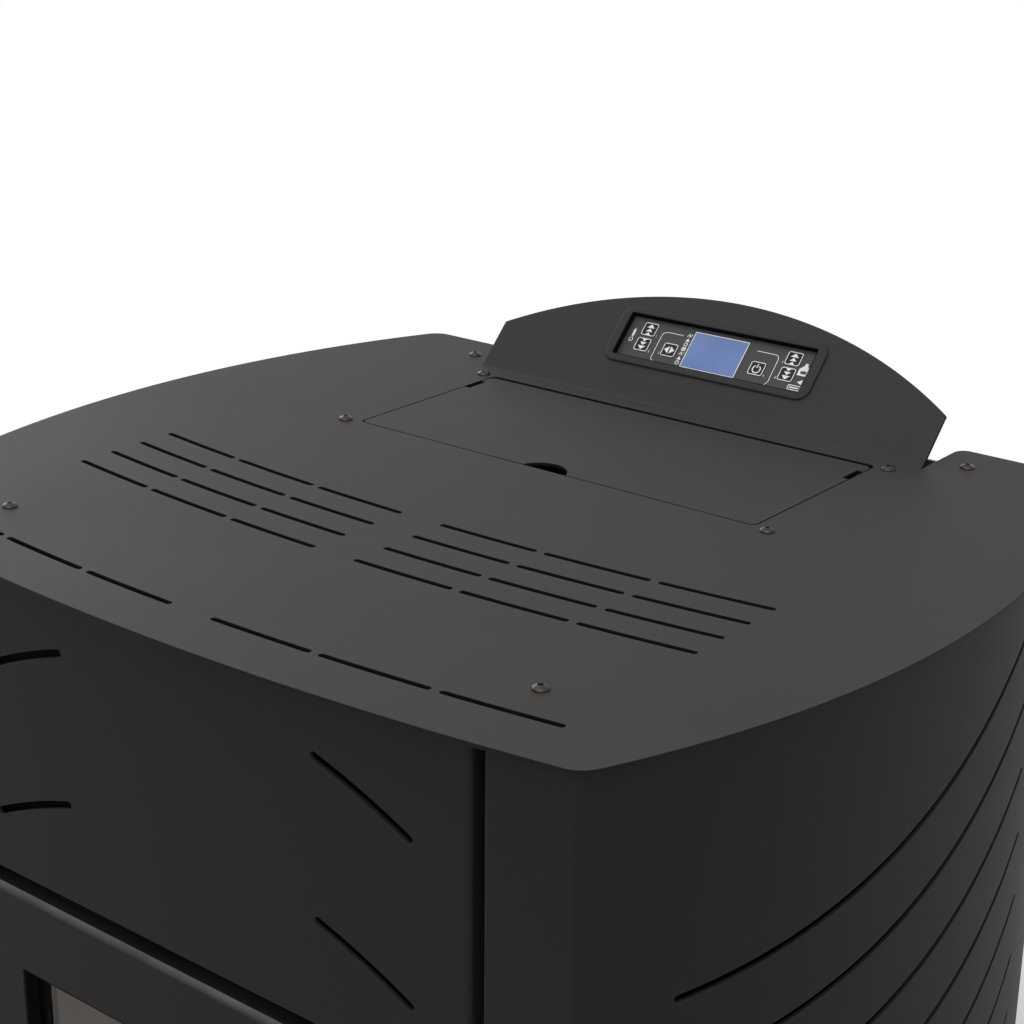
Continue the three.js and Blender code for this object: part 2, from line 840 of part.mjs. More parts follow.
function lidPin(side) {
  const inner = lidTabX - plateThickness - lidPinOverhang;
  const outer = inner + lidPinLength;
  return rod([side * inner, lidAxisY, lidAxisZ], [side * outer, lidAxisY, lidAxisZ], lidPinRadius);
}

// ---------------------------------------------------------------- display unit

function bezel() {
  const outer = roundedRectangle(-bezelHalfWidth, bezelHalfWidth, bezelLow, bezelHigh, bezelCorner, 4);
  const inner = roundedRectangle(-keypadHalfWidth, keypadHalfWidth, keypadLow, keypadHigh, keypadCorner);
  const sleeve = roundedRectangle(
    -keypadHalfWidth - bezelLip, keypadHalfWidth + bezelLip,
    keypadLow - bezelLip, keypadHigh + bezelLip, keypadCorner + bezelLip);
  const rim = prism(frameShape(outer, inner), 'xy', seatGap, bezelProud);
  const collar = prism(frameShape(sleeve, inner), 'xy', bezelProud - bezelDepth, bezelProud - rimLap);
  return join(rim, collar);
}

const keypadFace = -keypadSink;
const keypadBack = keypadFace - keypadThickness;
const keyTop = keypadFace + keyProud;
const boardTop = keyTop - keyThickness - keyTravel - seatGap;

function keypad() {
  const gap = seatGap;
  const panel = prism(roundedRectangle(
    -keypadHalfWidth + gap, keypadHalfWidth - gap, keypadLow + gap, keypadHigh - gap, keypadCorner - gap),
  'xy', keypadBack, keypadFace);
  const holes = Object.values(keyPlaces).map(([x, h]) => box(
    x - keyWidth / 2 - gap, x + keyWidth / 2 + gap, h - keyHeight / 2 - gap, h + keyHeight / 2 + gap,
    keypadBack - overcut, keypadFace + overcut));
  const display = box(
    -lcdHalfWidth, lcdHalfWidth, lcdLow, lcdHigh, keypadBack - overcut, keypadFace + overcut);
  return cut(panel, ...holes, display);
}

function lcdGlass() {
  const gap = seatGap;
  const half = lcdHalfWidth - gap;
  return box(-half, half, lcdLow + gap, lcdHigh - gap, boardTop + gap, keypadFace - lcdSink);
}

function key([x, h]) {
  const outline = roundedRectangle(
    x - keyWidth / 2, x + keyWidth / 2, h - keyHeight / 2, h + keyHeight / 2, keyCorner, 2);
  return prism(outline, 'xy', keyTop - keyThickness, keyTop);
}

function displayBoard() {
  const gap = seatGap;
  const outline = roundedRectangle(
    -keypadHalfWidth + gap, keypadHalfWidth - gap, keypadLow + gap, keypadHigh - gap, keypadCorner - gap, 2);
  return prism(outline, 'xy', boardTop - displayBoardThickness, boardTop);
}

function displayHousing() {
  const front = -plateThickness - seatGap;
  const back = front - housingDepth;
  const half = housingHalfWidth;
  const wall = housingWall;
  const outer = box(-half, half, housingLow, housingHigh, back, front);
  const inner = box(
    -half + wall, half - wall, housingLow + wall, housingHigh - wall, back + wall, front + overcut);
  const cableExit = box(
    -cableExitHalfWidth, cableExitHalfWidth, housingLow - overcut, housingLow + wall + overcut,
    front - cableExitDepths[0], front - cableExitDepths[1]);
  return cut(outer, inner, cableExit);
}

// ---------------------------------------------------------------- casing

// Plan profile of a folded sheet, from the points of its outer face; the sheet lies to their left
function sheetAlong(outer, thickness) {
  const inner = outer.map((p, i) => {
    const before = outer[Math.max(i - 1, 0)];
    const after = outer[Math.min(i + 1, outer.length - 1)];
    const along = after.clone().sub(before).normalize();
    const first = p.clone().sub(before).normalize();
    const square = point(-along.y, along.x);
    const edge = i === 0 || i === outer.length - 1 ? square : point(-first.y, first.x);
    return p.clone().addScaledVector(square, thickness / Math.max(square.dot(edge), 0.5));
  });
  return [...outer, ...inner.reverse()];
}

// A front panel: flat face with both sides folded back
function frontPanel(low, high) {
  const outer = [
    point(-frontHalfWidth, faceY + panelReturn),
    ...arc(-frontHalfWidth + panelBend, faceY + panelBend, panelBend, 180, 270, 3),
    ...arc(frontHalfWidth - panelBend, faceY + panelBend, panelBend, 270, 360, 3),
    point(frontHalfWidth, faceY + panelReturn),
  ];
  return prism(sheetAlong(outer, sheet), 'xy', low, high);
}

// Lip folded back along a front panel's upper or lower edge
function panelLip(low) {
  const half = frontHalfWidth - panelBend - panelLipInset;
  return box(-half, half, faceY + sheet / 2, faceY + panelReturn - sheet, low, low + sheet);
}

function frontUpperPanel() {
  const panel = join(frontPanel(upperPanelLow, caseTop), panelLip(upperPanelLow));
  const [x0, drop0] = frontSlotInner;
  const [x1, drop1] = frontSlotOuter;
  const middle = point((x0 + x1) / 2, -(drop0 + drop1) / 2);
  const chord = point(x1 - x0, drop0 - drop1);
  const back = Math.sqrt(frontSlotRadius ** 2 - chord.lengthSq() / 4);
  const normal = point(chord.y, -chord.x).normalize();
  const centre = middle.addScaledVector(normal, back);
  const from = Math.atan2(-drop1 - centre.y, x1 - centre.x) / degrees;
  const to = Math.atan2(-drop0 - centre.y, x0 - centre.x) / degrees;
  const cutters = [];
  for (const drop of [0, frontSlotPitch]) {
    const centreZ = plateTop + centre.y - drop;
    const outline = arcSlot(centre.x, centreZ, frontSlotRadius, frontSlotWidth, from, to, 6);
    const slot = prism(outline, 'xz', faceY - overcut, faceY + sheet + overcut);
    cutters.push(slot, mirrored(slot));
  }
  return cut(panel, ...cutters);
}

function frontLowerPanel() {
  return join(frontPanel(baseTop + seatGap, lowerPanelHigh), panelLip(lowerPanelHigh - sheet));
}

// Right side panel: front return, soft corner, curved side and rear return, with its curved slots
function sidePanel() {
  const stripEdge = frontHalfWidth + frontJoint;
  const sideStart = faceY + sideCornerSize;
  const cornerX = sideHalfWidth(faceY, sidePanelInset);
  const rearX = sideHalfWidth(sideRear, sidePanelInset);
  const steps = 10;
  const side = [];
  for (let i = 1; i < steps; i++) {
    const y = sideStart + (sideRear - sideCornerSize - sideStart) * i / steps;
    side.push(point(sideHalfWidth(y, sidePanelInset), y));
  }
  const outer = [
    point(stripEdge, faceY + panelReturn),
    ...arc(stripEdge + panelBend, faceY + panelBend, panelBend, 180, 270, 3),
    ...blend(
      point(cornerX - sideCornerSize / 2, faceY), point(cornerX, faceY),
      point(sideHalfWidth(sideStart, sidePanelInset), sideStart), 4),
    ...side,
    ...blend(
      point(sideHalfWidth(sideRear - sideCornerSize, sidePanelInset), sideRear - sideCornerSize),
      point(rearX, sideRear), point(rearX - sideCornerSize, sideRear), 3),
    point(rearX - sideRearReturn, sideRear),
  ];
  let panel = prism(sheetAlong(outer, sheet), 'xy', baseTop - baseThickness, caseTop);
  const [centreY, centreZ] = sideSlotCentre;
  for (let i = 0; i < sideSlotCount; i++) {
    const cy = centreY + i * sideSlotStep[0];
    const cz = plateTop + centreZ + i * sideSlotStep[1];
    const start = sideSlotStart + i * sideSlotStep[0];
    const end = sideSlotEnd + i * sideSlotEndStep;
    const from = Math.asin((start - cy) / sideSlotRadius) / degrees - 90;
    const to = Math.asin((end - cy) / sideSlotRadius) / degrees - 90;
    const outline = arcSlot(cy, cz, sideSlotRadius, sideSlotWidth, from, to, 6);
    panel = panel.subtract(prism(outline, 'yz', stripEdge + panelReturn, plateHalfWidth));
  }
  return panel;
}

const backPanelY = sideRear - sheet - seatGap;

function backPanel() {
  const half = sideHalfWidth(sideRear, sidePanelInset) - sheet - backPanelSideGap;
  const high = plateBottom - backPanelTopGap;
  const front = backPanelY - sheet - overcut;
  const back = backPanelY + overcut;
  const panel = box(-half, half, backPanelY - sheet, backPanelY, baseTop + seatGap, high);
  const through = (x, z, radius) => rod([x, front, z], [x, back, z], radius, ductSides);
  const inletHalf = inletHalfWidth + inletOpeningGap;
  const inletHigh = inletHalfHeight + inletOpeningGap;
  const cutters = [
    through(flueX, flueZ, flueRadius + 1),
    through(0, airPipeZ, airPipeRadius + seatGap),
    box(inletX - inletHalf, inletX + inletHalf, front, back, inletZ - inletHigh, inletZ + inletHigh),
  ];
  for (const vents of backVents) {
    for (let i = 0; i < vents.count; i++) {
      const z = vents.low + i * vents.pitch;
      const slot = roundedRectangle(...vents.x, z, z + backVentHeight, backVentHeight / 2 - 0.1, 2);
      cutters.push(prism(slot, 'xz', front, back));
    }
  }
  return cut(panel, ...cutters);
}

function basePlate() {
  const inset = sidePanelInset + sheet + seatGap;
  const front = faceY + sheet + seatGap;
  const back = backPanelY - seatGap;
  const stripEdge = frontHalfWidth + frontJoint;
  const steps = 10;
  const outline = [
    point(0, faceY + seatGap),
    point(stripEdge - seatGap, faceY + seatGap),
    point(stripEdge - seatGap, faceY + panelReturn + seatGap),
    point(stripEdge + sheet + seatGap, faceY + panelReturn + seatGap),
    point(stripEdge + sheet + seatGap, faceY + panelBend + sheet + seatGap),
    point(stripEdge + sheet + panelBend, front),
    point(sideHalfWidth(front, inset) - sideCornerSize, front),
  ];
  for (let i = 0; i <= steps; i++) {
    const y = front + sideCornerSize + (back - front - sideCornerSize) * i / steps;
    const cornered = sideHalfWidth(sideRear, inset) - sideCornerSize + (back - y);
    outline.push(point(Math.min(sideHalfWidth(y, inset), cornered), y));
  }
  outline.push(point(0, back));
  let plate = prism(withMirror(outline), 'xy', baseTop - baseThickness, baseTop);
  for (const [x, y] of Object.values(footPlaces)) {
    for (const side of [-1, 1]) {
      const low = baseTop - baseThickness - overcut;
      const hole = rod([side * x, y, low], [side * x, y, baseTop + overcut], footStudRadius + seatGap, 12);
      plate = plate.subtract(hole);
    }
  }
  return plate;
}

// Levelling foot: pad, neck and threaded stud, locked by its nut above the base plate
function foot(x, y) {
  const stand = footHeight - seatGap;
  const profile = [
    [0, 0],
    [footRadius, 0],
    [footRadius, footPadHeight],
    [footNeckRadius, footNeckStart],
    [footNeckRadius, stand],
    [footStudRadius, stand],
    [footStudRadius, stand + footStudLength],
    [0, stand + footStudLength],
  ];
  return turned(profile, shaftSides, new THREE.Matrix4().makeTranslation(x, y, 0));
}

// ---------------------------------------------------------------- firebox

const chuteSlope = 1;             // the chute falls 45 degrees towards the fire

// The chute's side view: `grow` widens it all round, `past` lengthens it
function chuteOutline(grow, past) {
  const front = chuteFront - grow;
  const back = chuteBack + grow;
  const top = chuteTop + past;
  const end = chuteEnd - past;
  const low = (y) => top - (y - end) * chuteSlope;
  return [point(end, low(back)), point(back, top), point(front, top), point(end, low(front))];
}

function chuteBody(grow, past, halfWidth) {
  return prism(chuteOutline(grow, past), 'yz', -halfWidth, halfWidth);
}

function pelletChute() {
  return cut(chuteBody(0, 0, chuteHalfWidth), chuteBody(-ductWall, overcut, chuteHalfWidth - ductWall));
}

function tubeCentres() {
  const centres = [];
  for (const z of tubeRows) {
    for (let i = 0; i < tubesPerRow; i++) centres.push([(i - (tubesPerRow - 1) / 2) * tubePitch, z]);
  }
  return centres;
}

const flangeBack = boxFront + boxWall;
const innerHalfWidth = boxHalfWidth - boxWall;
const lugHigh = doorHigh + lugGap;
const lugLow = doorLow - lugGap;

// Hinge lug that reaches forward from the flange over or under the door
function hingeLug(low, high) {
  const lug = join(
    box(doorAxisX - lugReach, doorAxisX + lugReach, doorAxisY, boxFront + lap, low, high),
    rod([doorAxisX, doorAxisY, low], [doorAxisX, doorAxisY, high], lugReach, 16));
  return lug.subtract(rod(
    [doorAxisX, doorAxisY, low - overcut], [doorAxisX, doorAxisY, high + overcut],
    doorPinRadius + runningGap));
}

// Cutters for the air pipe and the igniter through the walls between two depths
function airPipeHole(front, back) {
  return rod(
    [0, front - overcut, airPipeZ], [0, back + overcut, airPipeZ], airPipeRadius + seatGap, ductSides);
}

function igniterPort(front, back) {
  return rod(
    [igniterX, front - overcut, igniterZ], [igniterX, back + overcut, igniterZ], igniterRadius + seatGap);
}

function firebox() {
  const back = boxBack - boxWall;
  const walls = cut(
    box(-boxHalfWidth, boxHalfWidth, boxFront, boxBack, baseTop, boxTop),
    box(-innerHalfWidth, innerHalfWidth, flangeBack, back, fireFloorTop, boxTop - boxWall),
    box(-innerHalfWidth, innerHalfWidth, boxFront - overcut, back, drawerFloorTop, fireFloorTop - boxWall),
    box(
      -innerHalfWidth, innerHalfWidth, boxFront - overcut, boxBack + overcut, baseTop - overcut,
      drawerFloorTop - boxWall),
    box(
      -boxOpeningHalfWidth, boxOpeningHalfWidth, boxFront - overcut, flangeBack + overcut, boxOpeningLow,
      boxOpeningHigh));
  const flangeLow = lugLow - lugThickness;
  const flangeHigh = lugHigh + lugThickness;
  const flange = cut(
    box(-flangeHalfWidth, flangeHalfWidth, boxFront, flangeBack, flangeLow, flangeHigh),
    box(
      -innerHalfWidth, innerHalfWidth, boxFront - overcut, flangeBack + overcut, flangeLow - overcut,
      flangeHigh + overcut));
  const ledgeEdge = innerHalfWidth - ledgeWidth;
  const ledge = boxPair(
    ledgeEdge, innerHalfWidth + lap, flangeBack - lap, back + lap, smokeChamberFloor - boxWall,
    smokeChamberFloor);
  const ashDrop = boxPair(
    airBoxHalfWidth + ashSlotMargins.airBox, ledgeEdge, flangeBack + ashSlotMargins.front,
    back - ashSlotMargins.back, fireFloorTop - boxWall - overcut, fireFloorTop + overcut);
  const smokePort = box(...smokePortX, back - overcut, boxBack + overcut, ...smokePortZ);
  const exchangerWindow = box(
    -exchangerHalfWidth, exchangerHalfWidth, boxFront - overcut, boxBack + overcut, exchangerLow,
    exchangerHigh);
  const body = join(
    walls, flange, ledge, hingeLug(lugHigh, flangeHigh), hingeLug(flangeLow, lugLow));
  return cut(
    body, ashDrop, smokePort, airPipeHole(back, boxBack), igniterPort(back, boxBack),
    chuteBody(seatGap, 0, chuteHalfWidth + seatGap), exchangerWindow);
}

// Tube bundle between two header plates that close the firebox's openings from outside
function heatExchanger() {
  const front = boxFront - seatGap;
  const back = boxBack + seatGap;
  const half = exchangerHalfWidth + headerLap;
  const low = exchangerLow - headerLap;
  const high = exchangerHigh + headerLap;
  const boreEnds = [front - headerThickness - overcut, back + headerThickness + overcut];
  const bores = tubeCentres().map(([x, z]) => rod(
    [x, boreEnds[0], z], [x, boreEnds[1], z], tubeRadius - tubeWall, tubeSides));
  const headers = join(
    box(-half, half, front - headerThickness, front, low, high),
    box(-half, half, back, back + headerThickness, low, high));
  const tubes = tubeCentres().map(([x, z]) => rod(
    [x, front - lap, z], [x, back + lap, z], tubeRadius, tubeSides));
  return cut(join(headers, ...tubes), ...bores);
}

function bafflePlate() {
  const half = innerHalfWidth - seatGap;
  return box(
    -half, half, flangeBack + seatGap, boxBack - baffleRearGap, smokeChamberFloor,
    smokeChamberFloor + baffleThickness);
}

// Moulded liner behind the fire, with upright flutes and holes for the chute, air pipe and igniter
function fireback() {
  const back = boxBack - boxWall - seatGap;
  const front = back - firebackThickness;
  const half = innerHalfWidth - seatGap;
  const flutes = [];
  const count = Math.floor(half / flutePitch);
  for (let i = -count; i <= count; i++) {
    const x = i * flutePitch;
    const outerEdge = Math.abs(x) + fluteWidth / 2;
    if (outerEdge < chuteHalfWidth + fluteChuteMargin || outerEdge > half - fluteSideMargin) continue;
    const overAirBox = outerEdge - fluteWidth < airBoxHalfWidth + fluteSideMargin;
    const low = (overAirBox ? airBoxTop : fireFloorTop) + fluteEndMargin;
    flutes.push(box(
      x - fluteWidth / 2, x + fluteWidth / 2, front - overcut, front + fluteDepth, low,
      firebackTop - fluteEndMargin));
  }
  return cut(
    box(-half, half, front, back, fireFloorTop, firebackTop),
    ...flutes,
    chuteBody(seatGap, 0, chuteHalfWidth + seatGap),
    airPipeHole(front, back),
    igniterPort(front, back));
}

const firebackFront = boxBack - boxWall - seatGap - firebackThickness;

// Cast pot with a flange, air holes in its floor and a hole for the igniter behind
function burnPot() {
  const outline = (grow, corner) => roundedRectangle(
    -potHalfWidth - grow, potHalfWidth + grow, potFront - grow, potBack + grow, corner);
  const cup = prism(outline(0, potCorner), 'xy', potBottom, potTop);
  const rim = prism(outline(potFlange, potCorner + 2), 'xy', airBoxTop + seatGap, potTop);
  const inside = (shrink, z) => (
    { x: [-potHalfWidth + shrink, potHalfWidth - shrink], y: [potFront + shrink, potBack - shrink], z });
  const bowl = taper(inside(potCorner, potBottom + potWall), inside(potWall, potTop + overcut));
  const holes = [];
  for (let i = 0; i < potAirHoles.columns; i++) {
    for (let j = 0; j < potAirHoles.rows; j++) {
      const x = (i - (potAirHoles.columns - 1) / 2) * potAirHoles.pitchX;
      const y = (potFront + potBack) / 2 + (j - (potAirHoles.rows - 1) / 2) * potAirHoles.pitchY;
      const ends = [potBottom - overcut, potBottom + potWall + overcut];
      holes.push(rod([x, y, ends[0]], [x, y, ends[1]], potAirHoles.radius, 6));
    }
  }
  const { x, radius, depth } = igniterHole;
  holes.push(rod([x, potBack - depth, igniterZ], [x, potBack + overcut, igniterZ], radius, 8));
  return cut(join(cup, rim), bowl, ...holes);
}

// Air box under the pot: combustion air comes in behind and rises through the pot's floor
function burnPotBase() {
  const back = firebackFront - seatGap;
  const wall = ductWall;
  return cut(
    box(-airBoxHalfWidth, airBoxHalfWidth, airBoxFront, back, fireFloorTop, airBoxTop),
    box(
      -airBoxHalfWidth + wall, airBoxHalfWidth - wall, airBoxFront + wall, back - wall,
      fireFloorTop - overcut, airBoxTop - wall),
    prism(roundedRectangle(
      -potHalfWidth - seatGap, potHalfWidth + seatGap, potFront - seatGap, potBack + seatGap, potCorner),
    'xy', airBoxTop - wall - overcut, airBoxTop + overcut),
    airPipeHole(back - wall, back),
    igniterPort(back - wall, back));
}

function igniter() {
  return join(
    rod([igniterX, potBack + 0.5, igniterZ], [igniterX, igniterEnd, igniterZ], igniterRadius),
    rod([igniterX, boxBack + seatGap, igniterZ], [igniterX, igniterNutEnd, igniterZ], igniterNutRadius, 12));
}

function airInletPipe() {
  const start = firebackFront - seatGap - ductWall;
  return pipe([0, start, airPipeZ], [0, airPipeEnd, airPipeZ], airPipeRadius, airPipeWall);
}

// ---------------------------------------------------------------- ash drawer

function ashDrawer() {
  const half = innerHalfWidth - drawerSideGap;
  const back = boxBack - boxWall - drawerBackGap;
  const low = drawerFloorTop + drawerRise;
  const high = drawerFrontHigh - drawerSideGap;
  const wall = drawerWall;
  const tray = cut(
    box(-half, half, faceY + sheet / 2, back, low, high),
    box(-half + wall, half - wall, faceY + sheet, back - wall, low + wall, high + overcut));
  const face = frontPanel(drawerFrontLow, drawerFrontHigh);
  const [barDepth, barWidth] = drawerBowBar;
  const [bowLow, bowHigh] = drawerBowZ;
  const outer = drawerBowHalfWidth;
  const inner = outer - barWidth;
  const reach = faceY - drawerBowReach;
  const root = faceY + sheet / 2;
  const bow = cut(
    prism(roundedRectangle(-outer, outer, reach, root, drawerBowCorners[0]), 'xy', bowLow, bowHigh),
    prism(
      roundedRectangle(-inner, inner, reach + barDepth, faceY + drawerBowReach, drawerBowCorners[1]),
      'xy', bowLow - overcut, bowHigh + overcut));
  return join(tray, face, bow);
}

// ---------------------------------------------------------------- door

function doorFrame() {
  const back = faceY + doorThickness;
  const outer = roundedRectangle(-frontHalfWidth, frontHalfWidth, doorLow, doorHigh, doorCorner);
  const inner = roundedRectangle(-windowHalfWidth, windowHalfWidth, windowLow, windowHigh, windowCorner);
  const leaf = prism(frameShape(outer, inner), 'xz', faceY, back, doorBevel);
  const rebate = prism(roundedRectangle(
    -windowHalfWidth - glassLap - seatGap, windowHalfWidth + glassLap + seatGap,
    windowLow - glassLap - seatGap, windowHigh + glassLap + seatGap, windowCorner),
  'xz', back - glassRebate, back + overcut);
  const bore = (from, to) => rod(
    [doorAxisX, doorAxisY, from], [doorAxisX, doorAxisY, to], doorPinRadius + runningGap);
  const shaftHole = rod(
    [handleX, faceY - overcut, handleZ], [handleX, back + overcut, handleZ],
    handleShaftRadius + runningGap, shaftSides);
  return cut(
    leaf, rebate, shaftHole, bore(doorHigh - doorPinDepth - 1, doorHigh + overcut),
    bore(doorLow - overcut, doorLow + doorPinDepth + 1));
}

const glassRebate = glassThickness + 2 * seatGap + glassSink;
const glassFront = faceY + doorThickness - glassRebate + seatGap;

function doorGlass() {
  return prism(roundedRectangle(
    -windowHalfWidth - glassLap, windowHalfWidth + glassLap, windowLow - glassLap, windowHigh + glassLap,
    windowCorner), 'xz', glassFront, glassFront + glassThickness);
}

// Clamp frame that holds the glass in the door from behind
function glassRetainer() {
  const front = glassFront + glassThickness + seatGap;
  const outline = (grow) => roundedRectangle(
    -windowHalfWidth - grow, windowHalfWidth + grow, windowLow - grow, windowHigh + grow, windowCorner - 2);
  return prism(frameShape(
    outline(glassLap - 0.5),
    outline(-retainerLip)),
  'xz', front, front + retainerThickness);
}

function doorGasket() {
  const low = doorLow + gasketLowMargin;
  const high = doorHigh - gasketMargin;
  const front = faceY + doorThickness + seatGap;
  const ring = frameShape(
    roundedRectangle(-gasketHalfWidth, gasketHalfWidth, low, high, gasketCorner),
    roundedRectangle(
      -gasketHalfWidth + gasketWidth, gasketHalfWidth - gasketWidth, low + gasketWidth, high - gasketWidth,
      gasketCorner - gasketWidth / 2));
  return prism(ring, 'xz', front, boxFront - seatGap);
}

function doorPin(end) {
  const upper = end === 'upper';
  const inside = upper ? doorHigh - doorPinDepth : doorLow + doorPinDepth;
  const outside = upper ? lugHigh + lugThickness : lugLow - lugThickness;
  return rod([doorAxisX, doorAxisY, inside], [doorAxisX, doorAxisY, outside], doorPinRadius);
}

// Lever and shaft in one; the lever hangs down when the door is free
function doorHandle() {
  const front = faceY - leverProud;
  const lever = prism([
    ...arc(handleX, handleZ, leverWidth / 2 + leverTaper, 0, 180, 8),
    ...arc(handleX, handleZ - leverLength, leverWidth / 2 - leverTaper, 180, 360, 6),
  ], 'xz', front, front + leverThickness, leverBevel);
  const hubFront = front + leverBevel + 0.5;
  const hub = rod([handleX, hubFront, handleZ], [handleX, faceY - seatGap, handleZ], leverWidth / 2, 16);
  const shaft = rod(
    [handleX, hubFront, handleZ], [handleX, camFront + camThickness, handleZ],
    handleShaftRadius, shaftSides);
  return join(lever, hub, shaft);
}

// Latch cam on the shaft's inner end: it points up at rest and swings behind the keeper's tongue
function latchCam() {
  const cam = prism([
    ...arc(handleX, handleZ, camHub, 150, 390, 8),
    ...arc(handleX, handleZ + camLength - camWidth / 2, camWidth / 2, 0, 180, 4),
  ], 'xz', camFront, camFront + camThickness);
  return cam.subtract(rod(
    [handleX, camFront - overcut, handleZ], [handleX, camFront + camThickness + overcut, handleZ],
    handleShaftRadius + runningGap, shaftSides));
}

// Keeper on the firebox flange: a post with a tongue that stands between the cam and the door
function latchKeeper() {
  const right = flangeHalfWidth;
  const left = right - keeperWidth;
  const front = faceY + doorThickness + seatGap;
  return join(
    box(left, right, front, boxFront, keeperLow, keeperPostHigh),
    box(left, right, front, front + keeperTongue, keeperLow, keeperHigh));
}

// ---------------------------------------------------------------- hopper and feed

function hopper() {
  const ring = (half, front, back, z) => ({ x: [-half, half], y: [front, back], z });
  const shell = (shrink, past) => {
    const wide = ring(hopperHalfWidth - shrink, hopperFront + shrink, hopperBack - shrink, hopperBend);
    const thin = ring(spoutHalfWidth - shrink, spoutFront + shrink, spoutBack - shrink, spoutTop);
    return join(
      box(...wide.x, ...wide.y, hopperBend, caseTop + past),
      taper(thin, wide),
      box(...thin.x, ...thin.y, spoutBottom - past, spoutTop));
  };
  return cut(shell(0, 0), shell(hopperWall, overcut));
}

// Guard over the feed: a grid of flat bars
function hopperGrille() {
  const wall = hopperWall + seatGap;
  const half = hopperHalfWidth - wall;
  const low = grilleZ - overcut;
  const high = grilleZ + grilleThickness + overcut;
  const front = hopperFront + wall;
  const back = hopperBack - wall;
  const meshX = (2 * half - grilleBar) / grilleColumns;
  const meshY = (back - front - grilleBar) / grilleRows;
  const meshes = [];
  for (let i = 0; i < grilleColumns; i++) {
    for (let j = 0; j < grilleRows; j++) {
      const x0 = -half + grilleBar + i * meshX;
      const y0 = front + grilleBar + j * meshY;
      meshes.push(box(x0, x0 + meshX - grilleBar, y0, y0 + meshY - grilleBar, low, high));
    }
  }
  return cut(box(-half, half, front, back, grilleZ, grilleZ + grilleThickness), ...meshes);
}

// Feed tube with an inlet collar above its lower end and an outlet collar below its upper end
function augerTube() {
  const along = matrixOf(augerFrame);
  const bar = (radius, from, to) => {
    const geometry = new THREE.CylinderGeometry(radius, radius, to - from, ductSides);
    geometry.rotateX(Math.PI / 2);
    geometry.translate(0, 0, (from + to) / 2);
    return solid(geometry, along);
  };
  const wall = ductWall;
  const collarTop = spoutBottom - seatGap;
  const inletLow = augerLow[1] + (augerLow[0] - spoutBack) * augerFall;
  const outletLow = chuteTop + seatGap;
  const outer = join(
    bar(augerTubeRadius, 0, augerLength),
    bar(augerTubeFlange[0], 0, augerTubeFlange[1]),
    box(-spoutHalfWidth, spoutHalfWidth, spoutFront, spoutBack, inletLow, collarTop),
    box(-chuteHalfWidth, chuteHalfWidth, chuteFront, chuteBack, outletLow, outletLow + outletRise[0]));
  return cut(
    outer,
    bar(augerTubeRadius - augerTubeWall, -overcut, augerLength - augerTubeEnd),
    box(-spoutHalfWidth + wall, spoutHalfWidth - wall, spoutFront + wall, spoutBack - wall, inletLow + wall,
      collarTop + overcut),
    box(
      -chuteHalfWidth + wall, chuteHalfWidth - wall, chuteFront + wall, chuteBack - wall,
      outletLow - overcut, outletLow + outletRise[1]));
}

// Screw flight: a straight bar wound round the shaft, one rise of flightPitch a turn
function augerScrew() {
  const stepsPerTurn = 10;
  const steps = Math.round(flightTurns * stepsPerTurn);
  const geometry = new THREE.BoxGeometry(1, 1, 1, 1, 1, steps);
  const places = geometry.attributes.position;
  for (let i = 0; i < places.count; i++) {
    const radius = places.getX(i) < 0 ? flightRoot : flightRadius;
    const thickness = places.getY(i) * flightThickness;
    const turn = (places.getZ(i) + 0.5) * flightTurns;
    const angle = turn * 2 * Math.PI;
    places.setXYZ(
      i, radius * Math.cos(angle), radius * Math.sin(angle), flightStart + turn * flightPitch + thickness);
  }
  const shaft = rod([0, 0, augerShaftEnds[0]], [0, 0, augerShaftEnds[1]], augerShaftRadius, shaftSides);
  return join(solid(geometry), shaft);
}

// Gearbox plate and motor on the feed tube's lower end, bored for the auger's shaft
function augerGearmotor() {
  const front = -seatGap;
  const back = front - gearboxLength;
  const half = gearboxHalf;
  const gearbox = prism(roundedRectangle(-half, half, -half, half, gearboxCorner), 'xy', back, front);
  const motor = rod([0, 0, back - gearmotorLength], [0, 0, back + lap], gearmotorRadius, ductSides);
  const socket = rod(
    [0, 0, front - augerSocketDepth], [0, 0, front + overcut], augerShaftRadius + runningGap, shaftSides);
  return cut(join(gearbox, motor), socket);
}

// ---------------------------------------------------------------- smoke blower and flue

const flueX = smokeFanInner - smokeFanWidth / 2;
const flueZ = smokeFanZ - smokeFanRadius + smokeDuctHeight / 2;

